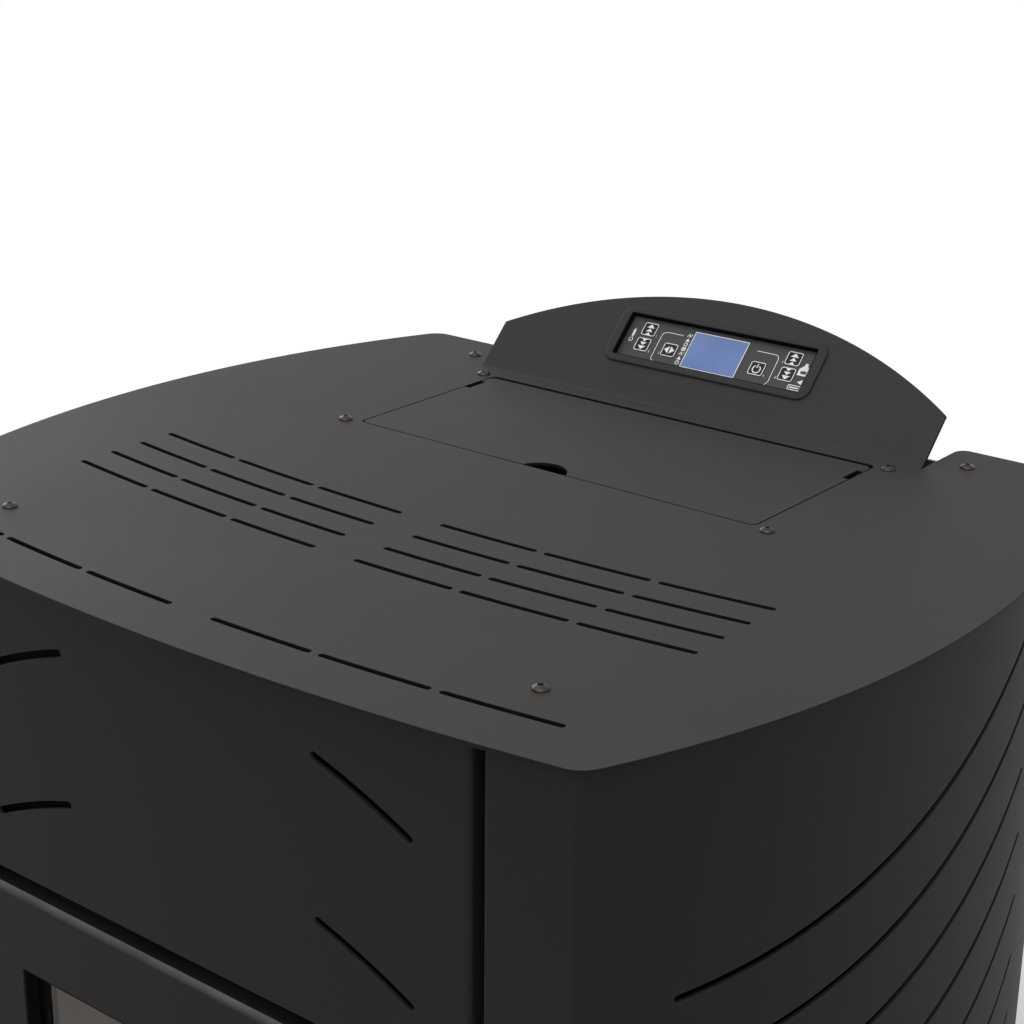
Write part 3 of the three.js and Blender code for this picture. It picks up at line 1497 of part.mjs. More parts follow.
function smokeFanHousing() {
  const wall = ductWall;
  const x1 = smokeFanInner;
  const x0 = x1 - smokeFanWidth;
  const low = smokeFanZ - smokeFanRadius;
  const across = (from, to, radius, sides) => rod(
    [from, smokeFanY, smokeFanZ], [to, smokeFanY, smokeFanZ], radius, sides);
  const scroll = (shrink) => join(
    across(x0 + shrink, x1 - shrink, smokeFanRadius - shrink, scrollSides),
    box(
      x0 + shrink, x1 - shrink, smokeFanY, smokeDuctEnd - shrink, low + shrink,
      low + smokeDuctHeight - shrink));
  const portX = [x1 - lap, smokePortX[1] + wall];
  const portY = [boxBack + seatGap, smokeFanY + smokeInletRadius * 1.5];
  const portZ = [smokePortZ[0] - smokePortLap, smokePortZ[1] + smokePortLap];
  const inlet = cut(
    box(...portX, ...portY, ...portZ),
    box(
      x1 + wall, portX[1] - wall, portY[0] - overcut, portY[1] - wall, portZ[0] + wall, portZ[1] - wall));
  const eye = across(x1 - 2 * wall, x1 + 2 * wall, smokeInletRadius, 16);
  const outlet = rod(
    [flueX, smokeDuctEnd - wall - overcut, flueZ], [flueX, smokeDuctEnd + overcut, flueZ],
    smokeOutletRadius, ductSides);
  const shaftHole = across(x0 - overcut, x0 + wall + overcut, smokeShaftHole, 12);
  return cut(join(cut(scroll(0), scroll(wall)), inlet), eye, outlet, shaftHole);
}

// Back-plate rotor with straight blades, laid out along its own x axis
function smokeFanRotor() {
  const x0 = smokeFanInner - smokeFanWidth + smokeRotorGap;
  const bossEnd = x0 + smokeBossLength;
  const disc = rod([x0, 0, 0], [x0 + smokeRotorDisc, 0, 0], smokeRotorRadius, scrollSides);
  const shaft = rod([x0 - smokeShaftReach, 0, 0], [bossEnd, 0, 0], smokeShaftRadius, 12);
  const boss = rod([x0, 0, 0], [bossEnd, 0, 0], smokeBossRadius, 12);
  const blades = [];
  const { count, length, thickness, from, to } = smokeBlades;
  for (let i = 0; i < count; i++) {
    const geometry = new THREE.BoxGeometry(length, to - from, thickness);
    geometry.translate(x0 + lap + length / 2, (from + to) / 2, 0);
    geometry.rotateX(i * 2 * Math.PI / count);
    blades.push(solid(geometry));
  }
  return join(disc, shaft, boss, ...blades);
}

function smokeFanMotor() {
  const x1 = smokeFanInner - smokeFanWidth - seatGap;
  const [plateRadius, plate] = smokeMotorPlate;
  const body = join(
    rod([x1 - smokeMotorLength, 0, 0], [x1 - plate + lap, 0, 0], smokeMotorRadius, ductSides),
    rod([x1 - plate, 0, 0], [x1, 0, 0], plateRadius, ductSides));
  const bore = rod([x1 - smokeShaftReach, 0, 0], [x1 + overcut, 0, 0], smokeShaftRadius + runningGap, 12);
  return body.subtract(bore);
}

function flueCollar() {
  const start = smokeDuctEnd + seatGap;
  const bore = rod(
    [flueX, start + fluePlate, flueZ], [flueX, flueEnd + overcut, flueZ], flueRadius - flueWall, ductSides);
  const inlet = rod(
    [flueX, start - overcut, flueZ], [flueX, start + fluePlate + overcut, flueZ],
    smokeOutletRadius, ductSides);
  return cut(rod([flueX, start, flueZ], [flueX, flueEnd, flueZ], flueRadius, ductSides), bore, inlet);
}

// ---------------------------------------------------------------- room air blower

const roomFanZ = baseTop + seatGap + roomFanRadius + 2;

function roomFanHousing() {
  const wall = ductWall;
  const [x0, x1] = roomFanX;
  const top = roomFanZ + roomFanRadius + roomDuctHeight;
  const across = (from, to, radius, sides) => rod(
    [from, roomFanY, roomFanZ], [to, roomFanY, roomFanZ], radius, sides);
  const shell = (shrink, past) => join(
    across(x0 + shrink, x1 - shrink, roomFanRadius - shrink, ductSides),
    box(
      x0 + shrink, x1 - shrink, roomFanY - roomFanRadius + shrink, roomFanY - roomDuctSetback - shrink,
      roomFanZ, top + past));
  const eye = across(x0 - overcut, x1 + overcut, roomEyeRadius, shaftSides);
  const [feetHalf, feetThickness] = roomFeet;
  const feetZ = [baseTop + seatGap, baseTop + seatGap + feetThickness];
  const feet = box(x0, x1, roomFanY - feetHalf, roomFanY + feetHalf, ...feetZ);
  const armReach = roomFanRadius - 2 * wall;
  const bearing = (from, to) => across(from, to, roomBearingRadius, shaftSides);
  const arm = (from, to) => box(
    from, to, roomFanY - roomBearingArm, roomFanY + roomBearingArm,
    roomFanZ - armReach, roomFanZ + armReach);
  const right = join(bearing(x1 - wall, x1 + roomBearingProud), arm(x1 - wall, x1 + lap));
  const left = join(bearing(x0 - roomBearingProud, x0 + wall), arm(x0 - lap, x0 + wall));
  const hole = across(x0 - roomShaftRadius, x1 + roomShaftRadius, roomShaftRadius + runningGap, shaftSides);
  return cut(join(cut(shell(0, 0), shell(wall, overcut), eye), feet, right, left), hole);
}

// Squirrel-cage rotor: end rings, a middle disc and forward-curved blades
function roomFanRotor() {
  const [x0, x1] = roomFanX;
  const low = x0 + roomRotorEndGap;
  const high = x1 - roomRotorEndGap;
  const { count, thickness, chord, lean, radius } = roomBlades;
  const ring = (x) => pipe([x, 0, 0], [x + roomRingDepth, 0, 0], roomRotorRadius, chord, shaftSides);
  const middle = (low + high) / 2;
  const blades = [];
  for (let i = 0; i < count; i++) {
    const geometry = new THREE.BoxGeometry(high - low - 2 * lap, thickness, chord);
    geometry.rotateX(lean * degrees);
    geometry.translate(middle, 0, radius);
    geometry.rotateX(i * 2 * Math.PI / count);
    blades.push(solid(geometry));
  }
  const shaft = rod([x0 - roomShaftProud, 0, 0], [x1 + roomShaftProud, 0, 0], roomShaftRadius, shaftSides);
  const [discRadius, discThickness] = roomDisc;
  const disc = rod([middle, 0, 0], [middle + discThickness, 0, 0], discRadius, shaftSides);
  return join(ring(low), ring(high - roomRingDepth), shaft, disc, ...blades);
}

// ---------------------------------------------------------------- electric parts

// Control board on posts on its tray; the tray's foot stands on the base plate
function controlBoard() {
  const [y0, y1] = boardY;
  const [z0, z1] = boardZ;
  const trayX = boardX - trayMargins.behind;
  const trayY = [y0 - trayMargins.ends, y1 + trayMargins.ends];
  const tray = join(
    box(trayX, trayX + sheet, ...trayY, baseTop, z1 + trayMargins.above),
    box(trayX, trayX + trayMargins.foot, ...trayY, baseTop, baseTop + sheet));
  const board = box(boardX, boardX + boardThickness, y0, y1, z0, z1);
  const { insetY, insetZ, radius } = boardPosts;
  const posts = [];
  for (const y of [y0 + insetY, y1 - insetY]) {
    for (const z of [z0 + insetZ, z1 - insetZ]) {
      posts.push(rod([trayX + lap, y, z], [boardX + lap, y, z], radius, 8));
    }
  }
  const face = boardX + boardThickness;
  const parts = boardParts.map(({ y, z, high }) => box(
    face - solderLap, face + high, y0 + y[0], y0 + y[1], z0 + z[0], z0 + z[1]));
  return join(tray, board, ...posts, ...parts);
}

// Mains inlet and switch housing in the back panel
function powerInlet() {
  const outside = sideRear + inletProud;
  const inside = backPanelY - inletRecess;
  const block = (halfWidth, halfHeight, from, to) => box(
    inletX - halfWidth, inletX + halfWidth, from, to, inletZ - halfHeight, inletZ + halfHeight);
  const opening = (half, [low, high]) => box(
    inletX - half, inletX + half, inside, outside + overcut, inletZ + low, inletZ + high);
  return cut(
    join(
      block(inletHalfWidth + inletRim, inletHalfHeight + inletRim, backPanelY + seatGap, outside),
      block(inletHalfWidth, inletHalfHeight, backPanelY - inletDepth, backPanelY + lap)),
    opening(socketHalfWidth, socketZ),
    opening(rockerWindowHalfWidth, rockerWindowZ));
}

// Rocker: its outer face is a shallow V, one half flush and the other half raised
function powerSwitch() {
  const half = rockerHalf;
  const reach = rockerWindowHalfWidth - rockerSideGap;
  const outline = [
    point(-9, -6),
    point(-1, -half + 1),
    point(3.4, -half),
    point(1.6, 0),
    point(4.6, half),
    point(-1, half - 1),
    point(-9, 6),
  ];
  return prism(outline, 'yz', -reach, reach);
}

// ---------------------------------------------------------------- put together

addPiece('top_plate', topPlate(), finishes.topPaint);
addPiece('hopper_lid', hopperLid(), finishes.topPaint);
addPiece('lid_pin_left', lidPin(-1), finishes.bareSteel);
addPiece('lid_pin_right', lidPin(1), finishes.bareSteel);

addPiece('display_bezel', bezel(), finishes.blackPlastic, consoleFrame);
addPiece('keypad_panel', keypad(), finishes.keyPrint, consoleFrame);
addPiece('lcd_screen', lcdGlass(), finishes.lcdBlue, consoleFrame);
for (const [name, place] of Object.entries(keyPlaces)) {
  addPiece(name, key(place), finishes.keyPrint, consoleFrame);
}
addPiece('display_board', displayBoard(), finishes.boardGreen, consoleFrame);
addPiece('display_housing', displayHousing(), finishes.blackPlastic, consoleFrame);

addPiece('front_upper_panel', frontUpperPanel(), finishes.casePaint);
addPiece('front_lower_panel', frontLowerPanel(), finishes.casePaint);
addPiece('side_panel_right', sidePanel(), finishes.casePaint);
addPiece('side_panel_left', mirrored(sidePanel()), finishes.casePaint);
addPiece('back_panel', backPanel(), finishes.galvanised);
addPiece('base_plate', basePlate(), finishes.stovePaint);
for (const [row, [x, y]] of Object.entries(footPlaces)) {
  addPiece(`foot_${row}_left`, foot(-x, y), finishes.foot);
  addPiece(`foot_${row}_right`, foot(x, y), finishes.foot);
}

addPiece('firebox', firebox(), finishes.stovePaint);
addPiece('heat_exchanger', heatExchanger(), finishes.stovePaint);
addPiece('baffle_plate', bafflePlate(), finishes.castIron);
addPiece('fireback', fireback(), finishes.vermiculite);
addPiece('burn_pot', burnPot(), finishes.castIron);
addPiece('burn_pot_base', burnPotBase(), finishes.stovePaint);
addPiece('igniter', igniter(), finishes.bareSteel);
addPiece('air_inlet_pipe', airInletPipe(), finishes.galvanised);
addPiece('ash_drawer', ashDrawer(), finishes.casePaint);

addPiece('door_frame', doorFrame(), finishes.casePaint);
addPiece('door_glass', doorGlass(), finishes.glass);
addPiece('glass_retainer', glassRetainer(), finishes.stovePaint);
addPiece('door_gasket', doorGasket(), finishes.gasket);
addPiece('door_pin_upper', doorPin('upper'), finishes.bareSteel);
addPiece('door_pin_lower', doorPin('lower'), finishes.bareSteel);
addPiece('door_handle', doorHandle(), finishes.bareSteel);
addPiece('door_latch_cam', latchCam(), finishes.bareSteel);
addPiece('latch_keeper', latchKeeper(), finishes.bareSteel);

addPiece('hopper', hopper(), finishes.galvanised);
addPiece('hopper_grille', hopperGrille(), finishes.bareSteel);
addPiece('auger_tube', augerTube(), finishes.stovePaint);
addPiece('auger_screw', augerScrew(), finishes.bareSteel, augerFrame);
addPiece('auger_gearmotor', augerGearmotor(), finishes.bareSteel, augerFrame);
addPiece('pellet_chute', pelletChute(), finishes.stovePaint);

const smokeShaft = new THREE.Group();
smokeShaft.position.set(0, smokeFanY, smokeFanZ);
stove.add(smokeShaft);
addPiece('smoke_fan_housing', smokeFanHousing(), finishes.galvanised);
addPiece('smoke_fan_rotor', smokeFanRotor(), finishes.bareSteel, smokeShaft);
addPiece('smoke_fan_motor', smokeFanMotor(), finishes.bareSteel, smokeShaft);
addPiece('flue_collar', flueCollar(), finishes.stovePaint);

const roomShaft = new THREE.Group();
roomShaft.position.set(0, roomFanY, roomFanZ);
stove.add(roomShaft);
addPiece('room_fan_housing', roomFanHousing(), finishes.galvanised);
addPiece('room_fan_rotor', roomFanRotor(), finishes.bareSteel, roomShaft);

addPiece('control_board', controlBoard(), finishes.boardGreen);
addPiece('power_inlet', powerInlet(), finishes.blackPlastic);
const switchFrame = new THREE.Group();
const rockerZ = inletZ + (rockerWindowZ[0] + rockerWindowZ[1]) / 2;
switchFrame.position.set(inletX, sideRear + 1, rockerZ);
stove.add(switchFrame);
addPiece('power_switch', powerSwitch(), finishes.blackPlastic, switchFrame);

export default part;
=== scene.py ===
# Pellet stove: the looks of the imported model, piece by piece from the top plate down to the works inside.
# Blender's lengths are metres. Sheets are laid out flat in millimetres, from the top plate's front edge
# and the floor, then folded and placed by a matrix.

import math
import random

import bmesh
import bpy
from mathutils import Matrix, Vector


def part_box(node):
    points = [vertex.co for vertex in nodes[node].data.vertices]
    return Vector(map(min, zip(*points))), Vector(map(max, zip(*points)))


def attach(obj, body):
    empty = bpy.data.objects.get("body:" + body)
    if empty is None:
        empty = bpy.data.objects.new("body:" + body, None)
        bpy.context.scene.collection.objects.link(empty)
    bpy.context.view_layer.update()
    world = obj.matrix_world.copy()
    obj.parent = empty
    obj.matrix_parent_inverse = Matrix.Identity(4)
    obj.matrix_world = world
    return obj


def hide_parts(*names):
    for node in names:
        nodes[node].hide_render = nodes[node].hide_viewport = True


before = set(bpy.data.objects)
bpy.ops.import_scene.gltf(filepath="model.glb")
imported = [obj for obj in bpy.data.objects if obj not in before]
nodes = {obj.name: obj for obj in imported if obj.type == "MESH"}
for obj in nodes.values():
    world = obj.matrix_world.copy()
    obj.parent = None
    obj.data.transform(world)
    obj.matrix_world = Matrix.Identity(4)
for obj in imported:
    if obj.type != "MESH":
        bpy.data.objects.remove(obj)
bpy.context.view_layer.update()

# ---------------------------------------------------------------- camera
# The photograph's camera, solved from the plate's left-right symmetry: it stands at the front right
# corner, a little over a metre from the plate, and looks down by twenty degrees.

camera = bpy.data.objects.new("camera", bpy.data.cameras.new("camera"))
camera.data.sensor_width = 36
camera.data.lens = 72.719
camera.location = (0.645657, -0.800618, 1.304447)
camera.rotation_euler = [math.radians(a) for a in (70.0171, -0.5213, 38.7954)]
camera.data.clip_end = 200
bpy.context.scene.collection.objects.link(camera)
bpy.context.scene.camera = camera
bpy.context.scene.view_settings.view_transform = "Standard"

# ---------------------------------------------------------------- room
# A pale studio: a wide floor that turns plain white away from the stove, soft lamps above and beside
# it, and a white surround that steel and glass mirror.


def wire(tree, *links):
    """Each link names a node and its output, then a node and its input."""
    for source, out, target, into in links:
        tree.links.new(source.outputs[out], target.inputs[into])


def add_node(tree, kind, **values):
    """A shader node with its properties and its inputs set by name."""
    node = tree.nodes.new("ShaderNode" + kind)
    for name, value in values.items():
        if hasattr(node, name) and name not in node.inputs:
            setattr(node, name, value)
        else:
            node.inputs[name.replace("_", " ")].default_value = value
    return node


def ranged(tree, source, out, start=(0, 1), end=(0, 1), interpolation="LINEAR"):
    """A node's output, carried over from a starting range to an ending one."""
    node = add_node(tree, "MapRange", interpolation_type=interpolation, From_Min=start[0],
                    From_Max=start[1], To_Min=end[0], To_Max=end[1])
    wire(tree, (source, out, node, "Value"))
    return node


def joined(tree, operation, first, first_out, second, second_out, clamp=False):
    """The outputs of two nodes, taken together by one operation."""
    node = add_node(tree, "Math", operation=operation, use_clamp=clamp)
    wire(tree, (first, first_out, node, 0), (second, second_out, node, 1))
    return node


def seen_or_mirrored(tree):
    """One where a camera, glossy or transmission ray asks, and otherwise nothing."""
    rays = add_node(tree, "LightPath")
    seen = joined(tree, "MAXIMUM", rays, "Is Camera Ray", rays, "Is Glossy Ray")
    return joined(tree, "MAXIMUM", seen, 0, rays, "Is Transmission Ray")


world = bpy.data.worlds.new("studio")
bpy.context.scene.world = world
world.use_nodes = True
tree = world.node_tree
tree.nodes.clear()
surround_out = add_node(tree, "OutputWorld")
surround = add_node(tree, "MixShader")
fill_light = add_node(tree, "Background", Color=(0.93, 0.96, 1, 1), Strength=0.42)
white = add_node(tree, "Background", Color=(1, 1, 1, 1), Strength=1)
wire(tree, (seen_or_mirrored(tree), 0, surround, 0), (fill_light, 0, surround, 1),
     (white, 0, surround, 2), (surround, 0, surround_out, 0))

floor_size = 30
floor_mesh = bpy.data.meshes.new("floor")
corner = floor_size / 2
floor_mesh.from_pydata(
    [(-corner, -corner, 0), (corner, -corner, 0), (corner, corner, 0), (-corner, corner, 0)],
    [], [(0, 1, 2, 3)])
floor = bpy.data.objects.new("floor", floor_mesh)
bpy.context.scene.collection.objects.link(floor)
floor_material = bpy.data.materials.new("pale_floor")
floor_material.use_nodes = True
tree = floor_material.node_tree
tree.nodes.clear()
floor_out = add_node(tree, "OutputMaterial")
pale = add_node(tree, "BsdfDiffuse", Color=(0.86, 0.86, 0.86, 1))
bright = add_node(tree, "Emission", Color=(1, 1, 1, 1), Strength=1)
floor_mix = add_node(tree, "MixShader")
place = add_node(tree, "TexCoord")
distance = add_node(tree, "VectorMath", operation="LENGTH")
fade = ranged(tree, distance, "Value", (0.9, 1.9), interpolation="SMOOTHSTEP")
far_and_seen = joined(tree, "MULTIPLY", seen_or_mirrored(tree), 0, fade, "Result")
wire(tree, (place, "Object", distance, 0), (far_and_seen, 0, floor_mix, 0), (pale, 0, floor_mix, 1),
     (bright, 0, floor_mix, 2), (floor_mix, 0, floor_out, 0))
floor_mesh.materials.append(floor_material)


def soft_lamp(name, place, aim, size, power):
    """A square area lamp that faces a point."""
    data = bpy.data.lights.new(name, "AREA")
    data.shape = "RECTANGLE"
    data.size = size
    data.size_y = size
    data.energy = power
    lamp = bpy.data.objects.new(name, data)
    lamp.location = place
    lamp.rotation_euler = (Vector(aim) - Vector(place)).to_track_quat("-Z", "Y").to_euler()
    bpy.context.scene.collection.objects.link(lamp)


soft_lamp("lamp_left", (-2.6, 0.9, 2.1), (0, 0, 0.9), 1.8, 20)
soft_lamp("lamp_above", (0.2, -1.3, 3.1), (0, 0, 0.9), 2.4, 32)
soft_lamp("lamp_front", (1.9, -2.35, 1.8), (0, 0, 0.6), 2, 22)

# ---------------------------------------------------------------- top plate and console
# One 2 mm steel sheet: laser cut flat with its vents and the lid's opening, its rear edge bent up
# into the console, then powder coated in the casing's fine-grained coat, painted a lighter grey here for
# the light falling from above. Eight screws hold it down.

mm = 0.001
millimetres = Matrix.Diagonal((mm, mm, mm, 1))
front_edge = -0.254
plate_top = 945
sheet = 2


def arc(cx, cy, radius, start, end, steps):
    """Points round a centre, from one angle in degrees to another."""
    points = []
    for i in range(steps + 1):
        angle = math.radians(start + (end - start) * i / steps)
        points.append((cx + radius * math.cos(angle), cy + radius * math.sin(angle)))
    return points


def soft_corner(before, corner, after, steps=8):
    """Points that round off a corner, from the place before it to the place after it."""
    points = []
    for i in range(steps + 1):
        t = i / steps
        points.append(tuple(
            (1 - t) ** 2 * a + 2 * t * (1 - t) * b + t * t * c for a, b, c in zip(before, corner, after)))
    return points


def rounded(x0, x1, y0, y1, radius, steps=6):
    """The outline of a rectangle with round corners."""
    return (arc(x1 - radius, y0 + radius, radius, -90, 0, steps)
            + arc(x1 - radius, y1 - radius, radius, 0, 90, steps)
            + arc(x0 + radius, y1 - radius, radius, 90, 180, steps)
            + arc(x0 + radius, y0 + radius, radius, 180, 270, steps))


def circle(x, y, radius):
    """A round hole's outline."""
    return arc(x, y, radius, 0, 345, 23)


def mirrored(loop):
    """The same outline on the other side of x = 0, run through backwards."""
    return [(-x, y) for x, y in loop[::-1]]


def arc_slot(cx, cy, radius, width, start, end, steps):
    """A round-ended slot along an arc, between the angles of its two ends."""
    half = width / 2
    trim = math.degrees(half / radius)
    a, b = start + trim, end - trim

    def cap(angle, turn):
        x = cx + radius * math.cos(math.radians(angle))
        y = cy + radius * math.sin(math.radians(angle))
        return arc(x, y, half, angle + turn, angle + turn + 180, 6)[1:-1]

    return (arc(cx, cy, radius + half, a, b, steps) + cap(b, 0)
            + arc(cx, cy, radius - half, b, a, steps) + cap(a, 180))


def area_of(loop):
    """A loop's area, less than nothing where it runs clockwise."""
    return sum(a[0] * b[1] - b[0] * a[1] for a, b in zip(loop, loop[1:] + loop[:1])) / 2


def add_mesh(whole, extra, matrix=None):
    """The extra mesh, placed by the matrix, as part of the same bmesh."""
    if matrix is not None:
        extra.transform(matrix)
    whole.from_mesh(extra)
    bpy.data.meshes.remove(extra)


def filled(curve):
    """The mesh of a curve or a text, which itself is removed."""
    carrier = bpy.data.objects.new("carrier", curve)
    bpy.context.scene.collection.objects.link(carrier)
    bpy.context.view_layer.update()
    mesh = bpy.data.meshes.new_from_object(carrier.evaluated_get(bpy.context.evaluated_depsgraph_get()))
    bpy.data.objects.remove(carrier)
    bpy.data.curves.remove(curve)
    return mesh


def flat_blank(outer, holes, thickness, edge):
    """A flat sheet from z = -thickness to 0 in millimetres, with softened edges, as a bmesh."""
    curve = bpy.data.curves.new("blank", "CURVE")
    curve.dimensions = "2D"
    curve.fill_mode = "BOTH"
    curve.extrude = thickness / 2 - edge
    curve.bevel_depth = edge
    curve.bevel_resolution = 1
    curve.offset = -edge
    for number, loop in enumerate([outer] + holes):
        if (area_of(loop) > 0) == (number > 0):
            loop = loop[::-1]
        spline = curve.splines.new("POLY")
        spline.points.add(len(loop) - 1)
        for p, (x, y) in zip(spline.points, loop):
            p.co = (x, y, 0, 1)
        spline.use_cyclic_u = True
    blank = bmesh.new()
    add_mesh(blank, filled(curve))
    bmesh.ops.remove_doubles(blank, verts=blank.verts, dist=0.002)
    bmesh.ops.dissolve_degenerate(blank, edges=blank.edges, dist=0.001)
    for vert in blank.verts:
        vert.co.z -= thickness / 2
    bmesh.ops.recalc_face_normals(blank, faces=blank.faces)
    return blank


def score(blank, axis, places):
    """New edges across the blank, where it is about to be bent."""
    normal = Vector((1, 0, 0)) if axis == "x" else Vector((0, 1, 0))
    for place in places:
        bmesh.ops.bisect_plane(
            blank, geom=blank.verts[:] + blank.edges[:] + blank.faces[:], dist=0.001,
            plane_co=normal * place, plane_no=normal)


smooth_up_to = math.radians(40)


def finished(blank, name, body, material, matrix, replaced=()):
    """The bmesh in millimetres, placed by the matrix, as a piece that rides on its body."""
    mesh = bpy.data.meshes.new(name)
    blank.to_mesh(mesh)
    blank.free()
    mesh.transform(matrix)
    mesh.shade_smooth()
    mesh.set_sharp_from_angle(angle=smooth_up_to)
    piece = bpy.data.objects.new(name, mesh)
    bpy.context.scene.collection.objects.link(piece)
    mesh.materials.append(material)
    even = piece.modifiers.new("even_normals", "WEIGHTED_NORMAL")
    even.keep_sharp = True
    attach(piece, body)
    if replaced:
        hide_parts(*replaced)
    return piece


def texture_group(name, **inputs):
    """A node group that gives a colour, a roughness and a height; an input with a tuple is a colour."""
    group = bpy.data.node_groups.new(name, "ShaderNodeTree")
    for key, value in inputs.items():
        kind = "NodeSocketColor" if isinstance(value, tuple) else "NodeSocketFloat"
        socket = group.interface.new_socket(key.replace("_", " "), in_out="INPUT", socket_type=kind)
        socket.default_value = value
    for key in ("Color", "Roughness", "Height"):
        kind = "NodeSocketColor" if key == "Color" else "NodeSocketFloat"
        group.interface.new_socket(key, in_out="OUTPUT", socket_type=kind)
    given = group.nodes.new("NodeGroupInput")
    result = group.nodes.new("NodeGroupOutput")
    return group, given, result, add_node(group, "TexCoord")


def texture(tree, where, kind="TexNoise", **values):
    """A texture in the object's own space."""
    node = add_node(tree, kind, **values)
    wire(tree, (where, "Object", node, "Vector"))
    return node


def overlaid(tree, base, out, amount, colour):
    """A node's colour with another colour over it, as far as the amount says."""
    mix = add_node(tree, "Mix", data_type="RGBA")
    mix.inputs["B"].default_value = colour
    wire(tree, (amount, 0, mix, "Factor"), (base, out, mix, "A"))
    return mix


def added(tree, base, out, amount, amount_out, share):
    """A node's value with a share of the amount added to it."""
    node = add_node(tree, "Math", operation="MULTIPLY_ADD")
    node.inputs[1].default_value = share
    wire(tree, (amount, amount_out, node, 0), (base, out, node, 2))
    return node


# Powder coat: fine grain and slight clouding, thin dust on faces that look up (raised on the door to a
# painted highlight), edges rubbed lighter, and painted shade, near black, on steep faces such as cut edges
coat, given, result, where = texture_group(
    "powder_coat", Paint=(0.04, 0.04, 0.04, 1), Roughness=0.5, Clouding=0.1, Dust=0.03, Wear=0.3,
    Thin_on_cut_edges=0.0)
grain = texture(coat, where, Scale=1500, Detail=2, Roughness=0.6)
peel = texture(coat, where, Scale=260, Detail=1)
cloud = texture(coat, where, Scale=5, Detail=4, Roughness=0.55)
cloud_centred = ranged(coat, cloud, "Fac", (0.3, 0.7), (-1, 1))
cloud_amount = add_node(coat, "Math", operation="MULTIPLY_ADD")
cloud_amount.inputs[2].default_value = 1
clouded = add_node(coat, "VectorMath", operation="SCALE")
wire(coat, (cloud_centred, "Result", cloud_amount, 0), (given, "Clouding", cloud_amount, 1),
     (given, "Paint", clouded, 0), (cloud_amount, 0, clouded, "Scale"))

upward = add_node(coat, "SeparateXYZ")
wire(coat, (where, "Normal", upward, 0))
# dust on faces that look up; where the Dust input is large, as on the door, it is a painted highlight
dust_and_highlight_noise = texture(coat, where, Scale=22, Detail=6, Roughness=0.65)
dust_and_highlight_spread = ranged(coat, dust_and_highlight_noise, "Fac", (0.3, 0.8), (0.45, 1))
dust_and_highlight_up = joined(coat, "MULTIPLY", upward, "Z", dust_and_highlight_spread, "Result", clamp=True)
dust_and_highlight_amount = joined(coat, "MULTIPLY", dust_and_highlight_up, 0, given, "Dust")
dusted_and_highlit = overlaid(coat, clouded, 0, dust_and_highlight_amount, (0.4, 0.38, 0.36, 1))

faces = add_node(coat, "NewGeometry")
round_edge = add_node(coat, "Bevel", samples=6, Radius=0.0012)
edge_turn = add_node(coat, "VectorMath", operation="DOT_PRODUCT")
wire(coat, (round_edge, "Normal", edge_turn, 0), (faces, "True Normal", edge_turn, 1))
edge_mask = ranged(coat, edge_turn, "Value", (0.995, 0.8))
rubbed = texture(coat, where, Scale=60, Detail=3)
rub_spread = ranged(coat, rubbed, "Fac", (0.35, 0.65))
edge_rub = joined(coat, "MULTIPLY", edge_mask, "Result", rub_spread, "Result")
wear = joined(coat, "MULTIPLY", edge_rub, 0, given, "Wear", clamp=True)
worn = overlaid(coat, dusted_and_highlit, "Result", wear, (0.2, 0.2, 0.2, 1))

# painted shade: steep faces, such as the cut edges and vent walls of a flat sheet, darken to near black
flank = add_node(coat, "Math", operation="ABSOLUTE")
wire(coat, (upward, "Z", flank, 0))
cut_edge_shade_mask = ranged(coat, flank, 0, (0.6, 0.25))
cut_edge_shade = joined(coat, "MULTIPLY", cut_edge_shade_mask, "Result", given, "Thin on cut edges")
edge_shaded = overlaid(coat, worn, "Result", cut_edge_shade, (0.004, 0.0036, 0.0034, 1))
rough_shift = added(coat, given, "Roughness", cloud_centred, "Result", 0.03)
rough_worn = added(coat, rough_shift, 0, wear, 0, -0.15)
height = joined(coat, "ADD", grain, "Fac", peel, "Fac")
wire(coat, (edge_shaded, "Result", result, "Color"), (rough_worn, 0, result, "Roughness"),
     (height, 0, result, "Height"))


def plain_material(name, **values):
    """A material, its node tree and its Principled shader, with the shader's inputs set by name."""
    material = bpy.data.materials.new(name)
    material.use_nodes = True
    skin = material.node_tree.nodes["Principled BSDF"]
    for key, value in values.items():
        skin.inputs[key.replace("_", " ")].default_value = value
    return material, material.node_tree, skin


def new_material(name, group, bump, metallic=0.0, specular=0.5, **values):
    """A material whose colour, roughness and bump come from one texture group."""
    material, tree, skin = plain_material(name, Metallic=metallic, Specular_IOR_Level=specular)
    skin_texture = add_node(tree, "Group", node_tree=group, **values)
    relief = add_node(tree, "Bump", Strength=bump, Distance=0.0001)
    wire(tree, (skin_texture, "Color", skin, "Base Color"),
         (skin_texture, "Roughness", skin, "Roughness"), (skin_texture, "Height", relief, "Height"),
         (relief, "Normal", skin, "Normal"))
    return material


# the casing's coat, painted lighter for the light from above; its cut edges and vent walls get painted
# shade
top_paint = new_material(
    "top_paint", coat, 0.12, specular=0.1, Paint=(0.0375, 0.0353, 0.0335, 1), Roughness=0.58,
    Clouding=0.07, Dust=0.02, Wear=0.12, Thin_on_cut_edges=0.9)

# the plate: its depth, where it is widest, the curves of its sides, of its front and of its vents
plate_depth, corner_size = 468, 8
widest_at, half_width, side_radius = 241.5, 280, 520
vent_radius = 1475

# the console: its bend, how far it leans, its half width and the heights of its shoulders and crown
bend_line, bend_radius = 424.3, 5
rise = math.radians(45.5)
bend_trim = bend_radius * math.tan(rise / 2)
console_half, shoulder, console_high = 155, 33.8, 77.4


